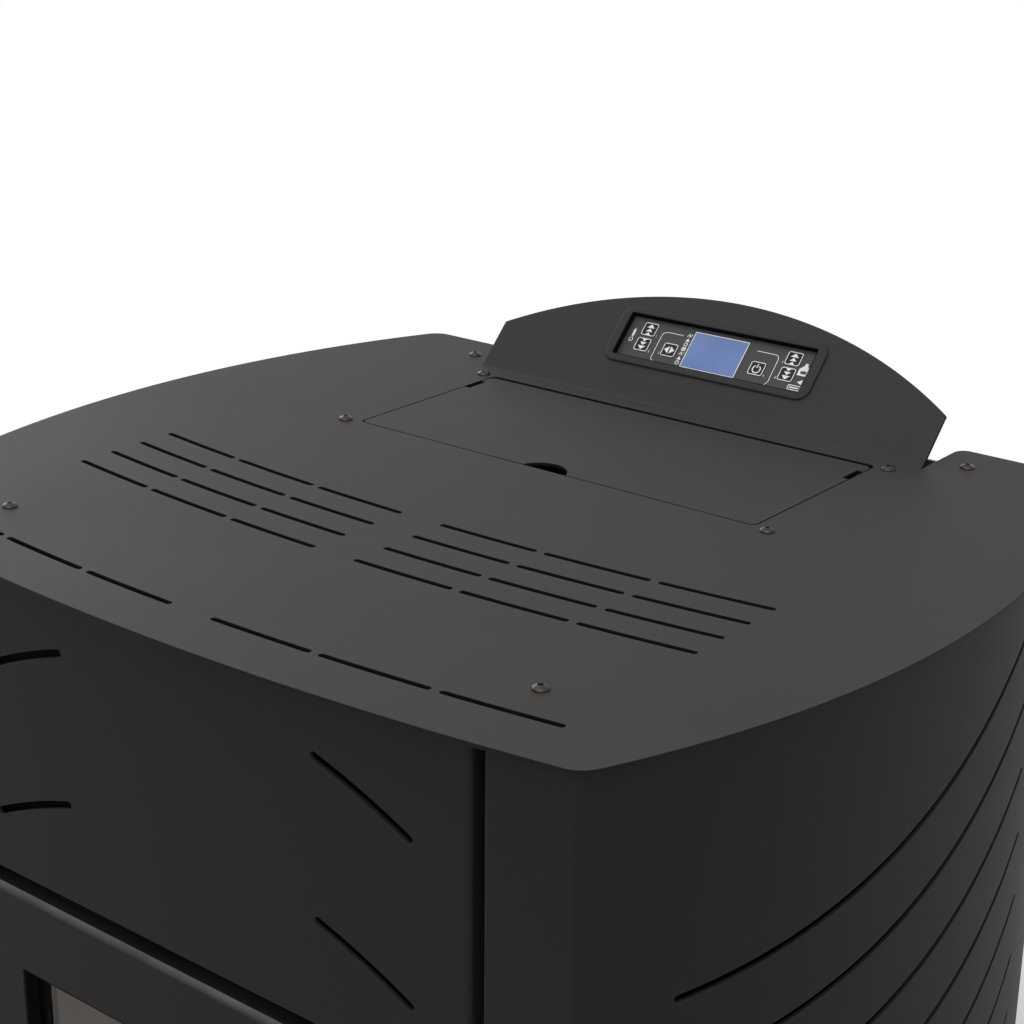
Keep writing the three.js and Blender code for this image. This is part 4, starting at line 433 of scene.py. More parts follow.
def side_half(y, inset=0.0):
    """Half the plate's width at a depth; the inset moves the curve inwards."""
    radius = side_radius - inset
    return half_width - inset - radius + math.sqrt(radius ** 2 - (y - widest_at) ** 2)


def front_at(x):
    """Where the curved front edge lies at a width."""
    return vent_radius - math.sqrt(vent_radius ** 2 - x * x)


# where the front's curve meets a side's curve
corner_y = 0.0
for _ in range(20):
    corner_y = front_at(side_half(corner_y))
corner_x = side_half(corner_y)

# the bend's two ends on the flat blank
bend_start = bend_line - bend_trim
bend_length = bend_radius * rise
console_start = bend_start + bend_length


def console_v(h):
    """Where a height up the console lies on the flat blank."""
    return console_start + h - bend_trim


front_end, front_steps, side_steps = corner_x - corner_size, 30, 70
half_outline = []
for i in range(front_steps):
    x = front_end * i / front_steps
    half_outline.append((x, front_at(x)))
side_start, side_end = corner_y + corner_size, plate_depth - corner_size
half_outline += soft_corner(
    (front_end, front_at(front_end)), (corner_x, corner_y), (side_half(side_start), side_start))
for i in range(1, side_steps):
    y = side_start + (side_end - side_start) * i / side_steps
    half_outline.append((side_half(y), y))
rear_x = side_half(plate_depth)
half_outline += soft_corner(
    (side_half(side_end), side_end), (rear_x, plate_depth), (rear_x - corner_size, plate_depth))

# a relief notch and a saw-thin cut free each end of the bend; the crown is one wide arc
notch, kerf = 7, 0.4
half_outline += arc(console_half + kerf + notch, plate_depth - notch, notch, 90, 180, 8)
half_outline += [(console_half + kerf, bend_start), (console_half, bend_start),
                 (console_half, console_v(shoulder))]
crown = (console_half ** 2 + (console_high - shoulder) ** 2) / (2 * (console_high - shoulder))
reach = math.degrees(math.asin(console_half / crown))
crown_arc = arc(0, console_high - crown, crown, 90 - reach, 90, 40)[1:]
half_outline += [(x, console_v(y)) for x, y in crown_arc]
outline = half_outline + mirrored(half_outline[1:-1])

# one row of vents near the front edge and four further back, three to the left and right in each
vent_width, vent_length, vent_bridge, vent_gap = 3.3, 59.6, 4.4, 26.2
first_row, second_row, row_pitch = 32.2, 125.5, 21.05
holes = []
for row in [first_row] + [second_row + row_pitch * i for i in range(4)]:
    for side in (-1, 1):
        for i in range(3):
            near = vent_gap / 2 + i * (vent_length + vent_bridge)
            ends = sorted((side * near, side * (near + vent_length)))
            start, end = [math.degrees(math.asin(x / vent_radius)) - 90 for x in ends]
            holes.append(arc_slot(0, row + vent_radius, vent_radius, vent_width, start, end, 6))

# the opening for the lid, the screws' holes and the console's window
lid_half, lid_front, lid_back, lid_corner = 133.6, 289.4, 407.9, 4
lid_gap, lid_rear_gap = 0.8, 3.5
holes.append(rounded(
    -lid_half - lid_gap, lid_half + lid_gap, lid_front - lid_gap, lid_back + lid_rear_gap, lid_corner))
screw_hole = 2.2
screw_places = [(side * x, y) for x, y in ((143.2, 286.4), (171.5, 67.3), (142, 410.3), (173.9, 440.5))
                for side in (-1, 1)]
holes += [circle(x, y, screw_hole) for x, y in screw_places]
unit_middle, keypad_half, keypad_low, keypad_high = -1.5, 65.9, 27.5, 57.4
window_lip, console_window_corner = 1.6, 2.8
console_window = rounded(
    unit_middle - keypad_half - window_lip, unit_middle + keypad_half + window_lip,
    keypad_low - window_lip, keypad_high + window_lip, console_window_corner)
holes.append([(x, console_v(y)) for x, y in console_window])

# the sheet is cut, then bent over the radius; what lies past the bend stands up straight
sheet_edge, bend_steps = 0.25, 6
blank = flat_blank(outline, holes, sheet, sheet_edge)
score(blank, "y", [bend_start + bend_length * i / bend_steps for i in range(bend_steps + 1)])
for vert in blank.verts:
    x, v, t = vert.co
    if abs(x) > console_half + kerf / 2:
        continue
    turn = min(max((v - bend_start) / bend_radius, 0), rise)
    y, z = min(v, bend_start), 0.0
    y += bend_radius * math.sin(turn)
    z += bend_radius * (1 - math.cos(turn))
    past = max(v - console_start, 0)
    y += past * math.cos(turn)
    z += past * math.sin(turn)
    vert.co = (x, y - t * math.sin(turn), z + t * math.cos(turn))

# The lid's pins sit in two ears that hang from the plate
lid_axis_y, lid_axis_drop, lid_pin_radius, pin_play = 390, 9, 2, 0.25
ear_half, ear_round = 8, 5


def add_blank(whole, extra, matrix):
    """The extra blank, placed by the matrix, as part of the same piece."""
    spare = bpy.data.meshes.new("spare")
    extra.to_mesh(spare)
    extra.free()
    add_mesh(whole, spare, matrix)


def pin_ear(x):
    """A folded ear in the plane across x, in millimetres under the plate's face."""
    front, rear = lid_axis_y - ear_half, lid_axis_y + ear_half
    ear = flat_blank(
        [(rear, -1), (front, -1), (front, -lid_axis_drop)]
        + arc(lid_axis_y, -lid_axis_drop, ear_round, 190, 350, 12) + [(rear, -lid_axis_drop)],
        [circle(lid_axis_y, -lid_axis_drop, lid_pin_radius + pin_play)], sheet, 0.15)
    upright = Matrix(((0, 0, 1, x), (1, 0, 0, 0), (0, 1, 0, 0), (0, 0, 0, 1)))
    return ear, upright


ear_gap = 1.6
bracket_x = lid_half + lid_gap + ear_gap + sheet
for x in (bracket_x, -bracket_x + sheet):
    add_blank(blank, *pin_ear(x))
stove_frame = Matrix.Translation((0, front_edge, plate_top * mm)) @ millimetres
finished(blank, "top_sheet", "casing", top_paint, stove_frame, ["top_plate"])

# ---------------------------------------------------------------- hopper lid
# A 2 mm steel flap, coated with the plate, with a half-round notch for a finger in its front edge.
# Two ears, folded down in notches of its sides, hold the pins that it turns on.

notch_reach, notch_set = 15, 4
notch_angle = math.degrees(math.asin(notch_set / notch_reach))
side_notch = 3.6
tab_x = lid_half - side_notch
right = (arc(lid_half - lid_corner, lid_front + lid_corner, lid_corner, -90, 0, 6)
         + [(lid_half, lid_axis_y - ear_half), (tab_x, lid_axis_y - ear_half),
            (tab_x, lid_axis_y + ear_half), (lid_half, lid_axis_y + ear_half)]
         + arc(lid_half - lid_corner, lid_back - lid_corner, lid_corner, 0, 90, 6))
finger = arc(0, lid_front - notch_set, notch_reach, 180 - notch_angle, notch_angle, 24)
blank = flat_blank(finger + right + mirrored(right), [], sheet, sheet_edge)
for x in (tab_x, -tab_x + sheet):
    add_blank(blank, *pin_ear(x))
finished(blank, "lid_sheet", "lid", top_paint, stove_frame, ["hopper_lid"])

# Bare steel of the pins and other small pieces: fine working marks and darker stains
steel_grain, given, result, where = texture_group(
    "worked_steel", Metal=(0.3, 0.3, 0.31, 1), Roughness=0.4, Grain=900.0, Stain=0.25)
marks = texture(steel_grain, where, Detail=3, Roughness=0.7)
stains = texture(steel_grain, where, Scale=35, Detail=5, Roughness=0.6)
stain_spread = ranged(steel_grain, stains, "Fac", (0.4, 0.75))
stain_amount = joined(steel_grain, "MULTIPLY", stain_spread, "Result", given, "Stain")
stained = overlaid(steel_grain, given, "Metal", stain_amount, (0.05, 0.045, 0.04, 1))
dulled = added(steel_grain, given, "Roughness", stain_amount, 0, 0.25)
wire(steel_grain, (given, "Grain", marks, "Scale"), (stained, "Result", result, "Color"),
     (dulled, 0, result, "Roughness"), (marks, "Fac", result, "Height"))

bare_steel = new_material(
    "bare_steel", steel_grain, 0.15, metallic=1.0, Metal=(0.38, 0.38, 0.39, 1), Roughness=0.34, Stain=0.2)


# Solids that show as they are: round faces shade smoothly and folds stay crisp
weld_reach = 0.000002
soft_from, crisp_from = math.radians(35), math.radians(32)
even_shading = bpy.data.node_groups.new("even_shading", "GeometryNodeTree")
even_shading.interface.new_socket("Geometry", in_out="INPUT", socket_type="NodeSocketGeometry")
even_shading.interface.new_socket("Geometry", in_out="OUTPUT", socket_type="NodeSocketGeometry")
mesh_in = even_shading.nodes.new("NodeGroupInput")
mesh_out = even_shading.nodes.new("NodeGroupOutput")
plain = even_shading.nodes.new("GeometryNodeRemoveAttribute")
plain.inputs["Name"].default_value = "custom_normal"
turn_at = even_shading.nodes.new("GeometryNodeInputMeshEdgeAngle")
crisp = even_shading.nodes.new("FunctionNodeCompare")
crisp.operation = "LESS_THAN"
crisp.inputs["B"].default_value = crisp_from
faces_smooth = even_shading.nodes.new("GeometryNodeSetShadeSmooth")
faces_smooth.domain = "FACE"
edges_smooth = even_shading.nodes.new("GeometryNodeSetShadeSmooth")
edges_smooth.domain = "EDGE"
wire(even_shading, (mesh_in, 0, plain, "Geometry"), (plain, "Geometry", faces_smooth, "Geometry"),
     (faces_smooth, "Geometry", edges_smooth, "Geometry"), (turn_at, "Unsigned Angle", crisp, "A"),
     (crisp, "Result", edges_smooth, "Shade Smooth"), (edges_smooth, "Geometry", mesh_out, 0))


def dress(node_names, material, edge):
    """A carried-over solid gets its finish, softened edges and even shading."""
    for name in node_names:
        node = nodes[name]
        node.data.materials.clear()
        node.data.materials.append(material)
        weld = node.modifiers.new("weld", "WELD")
        weld.merge_threshold = weld_reach
        if edge:
            soft = node.modifiers.new("soft_edges", "BEVEL")
            soft.width = edge * mm
            soft.segments = 2
            soft.limit_method = "ANGLE"
            soft.angle_limit = soft_from
        shade = node.modifiers.new("even_shading", "NODES")
        shade.node_group = even_shading
        flat = node.modifiers.new("even_normals", "WEIGHTED_NORMAL")
        flat.keep_sharp = True


dress(["lid_pin_left", "lid_pin_right"], bare_steel, 0.2)

# ---------------------------------------------------------------- plate screws
# Eight M4 button-head screws in blackened steel with a hex socket, each turned a little differently.
# They hold the plate down on the casing.

black_steel = new_material(
    "black_steel", steel_grain, 0.1, metallic=0.85, Metal=(0.048, 0.041, 0.037, 1), Roughness=0.3,
    Stain=0.3)
head_radius, head_height, rim_height, socket_across, socket_floor = 4.0, 2.2, 0.35, 2.5, 0.9
shank, shank_end, seat_height = 2.0, -4, 0.02


def turned_rings(rings, sides=36):
    """A closed bmesh from rings of a radius, or a function of the angle, and a height."""
    made = bmesh.new()
    loops = []
    for radius, height in rings:
        loop = []
        for i in range(sides):
            angle = 2 * math.pi * i / sides
            r = radius(angle) if callable(radius) else radius
            loop.append(made.verts.new((r * math.cos(angle), r * math.sin(angle), height)))
        loops.append(loop)
    for low, high in zip(loops, loops[1:]):
        for i in range(sides):
            k = (i + 1) % sides
            made.faces.new((low[i], low[k], high[k], high[i]))
    made.faces.new(loops[0][::-1])
    made.faces.new(loops[-1])
    bmesh.ops.recalc_face_normals(made, faces=made.faces)
    return made


def hexagon(across):
    """A hexagon's radius at an angle, by the width across its flats."""
    def radius(angle):
        return across / 2 / math.cos((angle + math.pi / 6) % (math.pi / 3) - math.pi / 6)
    return radius


def button_head():
    """A screw's head with its socket, on a plain shank."""
    dome_height = head_height - rim_height
    dome = [(head_radius * math.cos(a), rim_height + dome_height * math.sin(a))
            for a in (math.radians(10 * i) for i in range(1, 7))]
    under = [(shank, shank_end), (shank, seat_height), (head_radius - 0.15, seat_height),
             (head_radius, 0.15), (head_radius, rim_height)]
    socket = [(hexagon(socket_across + 0.5), head_height),
              (hexagon(socket_across + 0.1), head_height - 0.04),
              (hexagon(socket_across), head_height - 0.2), (hexagon(socket_across), socket_floor)]
    return turned_rings(under + dome + socket)


screw_turns = random.Random(4)
for number, (x, y) in enumerate(screw_places, 1):
    turn = Matrix.Rotation(screw_turns.uniform(0, 1), 4, "Z")
    finished(button_head(), f"plate_screw_{number}", "casing", black_steel,
             stove_frame @ Matrix.Translation((x, y, 0)) @ turn)

# ---------------------------------------------------------------- display bezel
# A black plastic frame, clipped into the console's window; its lip stands a little proud
# and its inner walls drop to the keypad.

plastic_grain, given, result, where = texture_group(
    "moulded_plastic", Plastic=(0.02, 0.02, 0.02, 1), Roughness=0.5, Dust=0.1)
spark = texture(plastic_grain, where, "TexVoronoi", Scale=1800)
wipe = texture(plastic_grain, where, Scale=45, Detail=4)
wipe_spread = ranged(plastic_grain, wipe, "Fac", (0.35, 0.75))
wipe_amount = joined(plastic_grain, "MULTIPLY", wipe_spread, "Result", given, "Dust")
wiped = overlaid(plastic_grain, given, "Plastic", wipe_amount, (0.12, 0.12, 0.12, 1))
wipe_rough = added(plastic_grain, given, "Roughness", wipe_amount, 0, 0.5)
wire(plastic_grain, (wiped, "Result", result, "Color"), (wipe_rough, 0, result, "Roughness"),
     (spark, "Distance", result, "Height"))

bezel_plastic = new_material(
    "bezel_plastic", plastic_grain, 0.15, specular=0.15, Plastic=(0.027, 0.026, 0.0252, 1),
    Roughness=0.5, Dust=0.04)
unit_frame = (Matrix.Translation((0, front_edge + bend_line * mm, plate_top * mm))
              @ Matrix.Rotation(rise, 4, "X") @ millimetres @ Matrix.Translation((unit_middle, 0, 0)))

# half width, lowest and highest place up the console, corner
bezel_outer = (72.2, 23, 61.9, 8)
bezel_inner = (keypad_half, keypad_low, keypad_high, 1.2)
bezel_proud, bezel_deep, bezel_wall, foil_face = 1.9, -7.4, 1.4, -2.3


def bezel_loop(share, grow=0.0):
    """The bezel's outline at a share of the way from its outer to its inner edge."""
    half, low, high, radius = (a + (b - a) * share for a, b in zip(bezel_outer, bezel_inner))
    return rounded(-half - grow, half + grow, low - grow, high + grow, radius + grow, 8)


def ring_stack(loops, heights):
    """A closed ring from matching loops at their heights; the last one meets the first again."""
    made = bmesh.new()
    rows = [[made.verts.new((x, y, z)) for x, y in loop] for loop, z in zip(loops, heights)]
    for row, following in zip(rows, rows[1:] + rows[:1]):
        for i in range(len(row)):
            k = (i + 1) % len(row)
            made.faces.new((row[i], row[k], following[k], following[i]))
    bmesh.ops.recalc_face_normals(made, faces=made.faces)
    return made


def lining(outer, inner, low, high):
    """A thin ring between two loops and two heights."""
    return ring_stack([outer, outer, inner, inner], [low, high, high, low])


# the lip's section from its outer edge to the foot of its inner walls: share of the way, height
lip_foot = 0.4
lip = [(0.03, lip_foot), (0, 0.6), (0, 1.2), (0.05, 1.6), (0.14, 1.82), (0.26, bezel_proud),
       (0.9, bezel_proud), (0.97, bezel_proud - 0.1), (1, bezel_proud - 0.4), (1, bezel_deep)]
loops = [bezel_loop(share) for share, _ in lip] + [bezel_loop(1, bezel_wall)] * 2
heights = [z for _, z in lip] + [bezel_deep, lip_foot]
finished(ring_stack(loops, heights), "bezel_frame", "casing", bezel_plastic,
         unit_frame, ["display_bezel"])

# a thin black lining on the lip's inner walls down to the keypad paints the shade in the recess
recess_shade_black = new_material(
    "recess_shade_black", plastic_grain, 0.3, specular=0.05, Plastic=(0.003, 0.003, 0.003, 1), Roughness=0.9,
    Dust=0.02)
recess_shade_thickness, recess_shade_foot, recess_shade_top = 0.4, foil_face + 0.02, bezel_proud - 0.35
recess_shade = lining(bezel_loop(1, -0.03), bezel_loop(1, -recess_shade_thickness), recess_shade_foot, recess_shade_top)
finished(recess_shade, "bezel_recess_shade", "casing", recess_shade_black, unit_frame)

# ---------------------------------------------------------------- keypad
# A membrane keypad: satin dark foil with six dome keys, and marks screen printed in white.
# The print lies on the foil and on each key, and moves with it.

foil = new_material(
    "keypad_foil", plastic_grain, 0.05, specular=0.3, Plastic=(0.043, 0.043, 0.044, 1),
    Roughness=0.42, Dust=0.05)
key_foil = new_material(
    "key_foil", plastic_grain, 0.05, specular=0.2, Plastic=(0.008, 0.008, 0.0085, 1),
    Roughness=0.42, Dust=0.03)
foil_thickness, foil_play, foil_edge = 0.25, 0.05, 0.02
key_proud, key_half_width, key_half_height, key_corner, key_gap = 0.4, 5, 4.5, 1.4, 0.15
keys = {
    "key_left_up": (-50.7, 49.8), "key_left_down": (-50.8, 38.9), "key_menu": (-31, 38.9),
    "key_power": (31, 38.9), "key_right_up": (51.2, 50), "key_right_down": (51.2, 39.2)}
display_left, display_right, display_low, display_high = -18.9, 18.2, 30.2, 54.1


def key_outline(x, y, grow=0.0, radius=key_corner):
    """A key's outline, grown by a little."""
    return rounded(x - key_half_width - grow, x + key_half_width + grow,
                   y - key_half_height - grow, y + key_half_height + grow, radius, 4)


def display_outline(grow, radius):
    """The display window's outline, grown by a little."""
    return rounded(display_left - grow, display_right + grow, display_low - grow, display_high + grow,
                   radius, 2)


def on_unit(height):
    """The place of a layer at a height over the console's face."""
    return unit_frame @ Matrix.Translation((0, 0, height))


foil_holes = [key_outline(x, y, key_gap, key_corner + key_gap) for x, y in keys.values()]
foil_holes.append(display_outline(0, 0.4))
foil_outline = rounded(-keypad_half + foil_play, keypad_half - foil_play,
                       keypad_low + foil_play, keypad_high - foil_play, 1.1)
finished(flat_blank(foil_outline, foil_holes, foil_thickness, foil_edge), "keypad_sheet", "casing", foil,
         on_unit(foil_face), ["keypad_panel"])
key_face = foil_face + key_proud
for name, (x, y) in keys.items():
    finished(flat_blank(key_outline(x, y), [], foil_thickness, 0.1), name + "_dome", name, key_foil,
             on_unit(key_face), [name])


def two_tones(tree, source, low_at, low, high_at, high):
    """A colour that runs from low to high while the source's value passes between two places."""
    tone = add_node(tree, "ValToRGB")
    for stop, place, colour in zip(tone.color_ramp.elements, (low_at, high_at), (low, high)):
        stop.position = place
        stop.color = colour
    wire(tree, (source, "Fac", tone, "Fac"))
    return tone


ink, tree, skin = plain_material("white_print", Roughness=0.5, Specular_IOR_Level=0.3)
mottle = texture(tree, add_node(tree, "TexCoord"), Scale=900, Detail=3)
tone = two_tones(tree, mottle, 0.3, (0.68, 0.68, 0.68, 1), 0.6, (0.86, 0.86, 0.86, 1))
wire(tree, (tone, "Color", skin, "Base Color"))

print_height, print_edge, line = 0.03, 0.004, 0.5


def stroke(points, width, closed=False):
    """The outline of a printed line of even width along the points, mitred at its corners."""
    count = len(points)
    sides = ([], [])
    for i, (x, y) in enumerate(points):
        before = points[i - 1] if closed or i else points[i]
        after = points[(i + 1) % count] if closed or i < count - 1 else points[i]
        ahead = Vector((after[0] - x, after[1] - y))
        behind = Vector((x - before[0], y - before[1]))
        way = (ahead.normalized() + behind.normalized()).normalized()
        square = Vector((-way.y, way.x))
        first = (ahead if ahead.length else behind).normalized()
        mitre = max(abs(square.dot(Vector((-first.y, first.x)))), 0.5)
        for half, side in ((width / 2 / mitre, sides[0]), (-width / 2 / mitre, sides[1])):
            side.append((x + square.x * half, y + square.y * half))
    if closed:
        outer, inner = sorted(sides, key=lambda loop: -abs(area_of(loop)))
        return outer, [inner]
    return sides[0] + sides[1][::-1], []


def printed(name, marks, height, body):
    """Printed marks as one thin layer: each mark is an outline and its holes."""
    layer = bmesh.new()
    for outer, inner in marks:
        add_blank(layer, flat_blank(outer, inner, print_height, print_edge),
                  Matrix.Translation((0, 0, print_height)))
    finished(layer, name, body, ink, on_unit(height))


def arrow(x, base, half, tip):
    """A filled arrowhead that stands on its base and points to its tip, up or down."""
    return ([(x - half, base), (x + half, base), (x, tip)] if tip > base
            else [(x + half, base), (x - half, base), (x, tip)]), []


def arrow_column(x, y, way):
    """Three arrowheads, smaller towards the tail."""
    return [arrow(x, y + way * base, half, y + way * tip)
            for half, base, tip in ((2.75, 0.9, 3.6), (2.3, -1.7, 0.5), (1.8, -3.9, -2.1))]


def arrow_pair(x, y):
    """Two arrowheads that point left and right."""
    left = [(-3.7, y), (-0.5, y - 2.5), (-0.5, y + 2.5)]
    return [([(x + a, b) for a, b in loop], []) for loop in (left, mirrored(left))]


def power_sign(x, y):
    """A ring that is open at its top, with a bar in the gap."""
    return [stroke(arc(x, y - 0.5, 2.5, 122, 418, 24), 0.75), stroke([(x, y + 0.3), (x, y + 3)], 0.75)]


for name, (x, y) in keys.items():
    key_line = stroke(key_outline(x, y, -0.3, 1.2), line, closed=True)
    if name == "key_menu":
        sign = arrow_pair(x, y)
    elif name == "key_power":
        sign = power_sign(x, y)
    else:
        sign = arrow_column(x, y, 1 if name.endswith("up") else -1)
    printed(name + "_print", [key_line] + sign, key_face, name)

# the display's line, and a bracket on each side
left_bracket = ([(-26.4, 50.4)] + arc(-37.8, 47.2, 3.2, 90, 180, 6)
                + arc(-37.8, 32.5, 3.2, 180, 270, 6) + [(-20.4, 29.3)])
right_bracket = [(26, 50.35)] + arc(38.5, 47.3, 3, 90, 0, 6) + [(41.7, 32.4), (40, 29.6)]
marks = [stroke(display_outline(0.3, 0.3), 0.55, closed=True),
         stroke(left_bracket, 0.4), stroke(right_bracket, 0.4)]

# a thermometer on the left
thermometer_stem = [(-61.1, 42.6), (-60.3, 42.6), (-59.9, 44.2), (-59.9, 47.4), (-60.7, 49),
                    (-61.5, 47.4), (-61.5, 44.2)]
marks += [stroke(arc(-60.7, 41, 1.2, 110, 430, 14), 0.45), (thermometer_stem, [])]

# a stove, a horn and a level bar on the right
stove_sign = [(57.3, 40.3), (64.3, 40.3), (64.3, 44.6), (61.9, 47.1), (61.9, 48.6), (59.9, 48.6),
              (59.9, 47.1), (57.3, 44.6)]
horn_sign = [(59.6, 35.9), (62.9, 34.4), (62.9, 38)]
marks += [(stove_sign, [rounded(58.9, 62.7, 41.5, 43.5, 0.2, 2)]), (horn_sign, []),
          stroke(rounded(55.3, 63.3, 30.4, 33.3, 0.4, 3), line, closed=True),
          (rounded(56.2, 62.4, 31.4, 32.3, 0.15, 2), [])]

# seven small status signs in a column beside the display: rings, arrows, waves and boxes in turn
sign_x, sign_low, sign_pitch, sign_half = -22.2, 32, 3.2, 1.5
for number in range(7):
    y = sign_low + number * sign_pitch
    if number % 4 == 0:
        marks.append(stroke(arc(sign_x, y, 1.15, 0, 345, 14)[:-1], line, closed=True))
    elif number % 4 == 1:
        marks.append(arrow(sign_x, y - 1.1, sign_half, y + 1.2))
    elif number % 4 == 2:
        marks.append(stroke([(sign_x - sign_half, y - 1), (sign_x - 0.45, y + 1), (sign_x + 0.45, y - 1),
                             (sign_x + sign_half, y + 1)], line))
    else:
        box = rounded(sign_x - 1.2, sign_x + 1.2, y - 1.05, y + 1.05, 0.2, 2)
        marks.append(stroke(box, line, closed=True))
printed("keypad_print", marks, foil_face, "casing")

# the keys' numbers
numbers = bmesh.new()
digit_size, digit_drop = 2.1, 0.6
digit_places = [(-44.5, 46.2), (-44.5, 35.2), (-37.4, 35.6), (37.1, 35.2), (44.9, 46.6), (44.9, 35.8)]
for digit, (x, y) in enumerate(digit_places, 1):
    text = bpy.data.curves.new("digit", "FONT")
    text.body = str(digit)
    text.size = digit_size
    text.align_x = "CENTER"
    text.extrude = print_height / 2
    add_mesh(numbers, filled(text), Matrix.Translation((x, y - digit_drop, print_height / 2)))
bmesh.ops.remove_doubles(numbers, verts=numbers.verts, dist=0.001)
finished(numbers, "keypad_numbers", "casing", ink, on_unit(foil_face))

# ---------------------------------------------------------------- display
# A backlit liquid-crystal window, pale blue, a little brighter in its middle; its driver board
# sits under the keypad in a plastic tray behind the console.

lit, tree, skin = plain_material("blue_display", Roughness=0.18, Emission_Strength=0.2)
where = add_node(tree, "TexCoord")
glow = texture(tree, where, Scale=28, Detail=1)
cells = texture(tree, where, "TexChecker", Scale=2600)
tint = two_tones(tree, glow, 0.35, (0.105, 0.17, 0.385, 1), 0.65, (0.137, 0.208, 0.425, 1))
cell_mix = add_node(tree, "Mix", data_type="RGBA", blend_type="MULTIPLY")
cell_mix.inputs["Factor"].default_value = 0.08
wire(tree, (tint, "Color", cell_mix, "A"), (cells, "Color", cell_mix, "B"),
     (cell_mix, "Result", skin, "Base Color"), (cell_mix, "Result", skin, "Emission Color"))
display_sunk = 0.03
finished(flat_blank(display_outline(-foil_play, 0.3), [], foil_thickness, foil_edge), "display_window",
         "casing", lit, on_unit(foil_face - display_sunk), ["lcd_screen"])

board_resin = new_material(
    "board_resin", plastic_grain, 0.1, Plastic=(0.014, 0.1, 0.042, 1), Roughness=0.4, Dust=0.1)
case_plastic = new_material(
    "case_plastic", plastic_grain, 0.2, Plastic=(0.013, 0.013, 0.014, 1), Roughness=0.5, Dust=0.12)
dress(["display_board"], board_resin, 0.1)
dress(["display_housing"], case_plastic, 0.5)

# ---------------------------------------------------------------- casing panels
# 2 mm sheet steel, laser cut and folded, in the top plate's fine-grained coat, painted near black here as
# the shade on upright faces. The front panels' sides and the side panels' ends are folded back; the sides
# follow the top plate's curve.

# the top plate's coat, painted darker for the shade on faces that stand upright
case_paint = new_material(
    "case_paint", coat, 0.12, specular=0.1, Paint=(0.0133, 0.0124, 0.0113, 1), Roughness=0.58,
    Clouding=0.07, Dust=0.02, Wear=0.1)
face_y, front_half, upright_joint, inset = 22.3, 171.2, 6.3, 5
fold_return, fold_radius, panel_edge = 20, 3, 0.3
base_top, base_thickness, seat = 24, 3, 0.3
case_top = plate_top - sheet - seat
floor_frame = Matrix.Translation((0, front_edge, 0)) @ millimetres


class Fold:
    """A sheet's outer face in plan: how far along the path a place lies, and where it is once bent."""

    def __init__(self, path):
        self.path = [Vector(p) for p in path]
        self.along = [0.0]
        for a, b in zip(self.path, self.path[1:]):
            self.along.append(self.along[-1] + (b - a).length)
        ways = [(b - a).normalized() for a, b in zip(self.path, self.path[1:])]
        self.normals = []
        for i in range(len(self.path)):
            way = (ways[max(i - 1, 0)] + ways[min(i, len(ways) - 1)]).normalized()
            self.normals.append(Vector((way.y, -way.x)))

    def at(self, s):
        """The place and the outward direction at a path length."""
        i = 0
        while i < len(self.along) - 2 and self.along[i + 1] < s:
            i += 1
        t = (s - self.along[i]) / (self.along[i + 1] - self.along[i])
        spot = self.path[i].lerp(self.path[i + 1], t)
        return spot, self.normals[i].lerp(self.normals[i + 1], min(max(t, 0), 1)).normalized()

    def reach(self, test):
        """The path length where the test value of the path's points first passes zero."""
        for i in range(len(self.path) - 1):
            a, b = test(self.path[i]), test(self.path[i + 1])
            if a <= 0 < b:
                return self.along[i] + (self.along[i + 1] - self.along[i]) * a / (a - b)
        raise ValueError("the fold's path never passes that place")

    def bend(self, blank):
        """Bends a flat blank, whose x is the path length and y the height, into place."""
        score(blank, "x", self.along[1:-1])
        for vert in blank.verts:
            s, z, t = vert.co
            spot, normal = self.at(s)
            vert.co = (spot.x + normal.x * t, spot.y + normal.y * t, z)


def folded(fold, low, high, holes, thickness, edge, left=False):
    """A sheet between two heights, cut and bent; a left one is a right one mirrored."""
    length = fold.along[-1]
    blank = flat_blank([(0, low), (length, low), (length, high), (0, high)], holes, thickness, edge)
    fold.bend(blank)
    if left:
        for vert in blank.verts:
            vert.co.x *= -1
        bmesh.ops.reverse_faces(blank, faces=blank.faces)
    return blank


# a front panel in plan, with its two returns
front_fold = Fold([(-front_half, face_y + fold_return)]
                  + arc(-front_half + fold_radius, face_y + fold_radius, fold_radius, 180, 270, 6)
                  + arc(front_half - fold_radius, face_y + fold_radius, fold_radius, 270, 360, 6)
                  + [(front_half, face_y + fold_return)])


def front_sheet(low, high, holes, lip):
    """A front panel with its folded sides and a lip folded back along one edge."""
    middle = front_fold.along[-1] / 2
    placed = [[(middle + x, z) for x, z in hole] for hole in holes]
    blank = folded(front_fold, low, high, placed, sheet, panel_edge)
    lip_half = front_half - fold_radius - 1
    lip_outline = rounded(-lip_half, lip_half, face_y + 1, face_y + fold_return - 2, 0.6, 2)
    add_blank(blank, flat_blank(lip_outline, [], sheet, 0.2), Matrix.Translation((0, 0, lip)))
    return blank


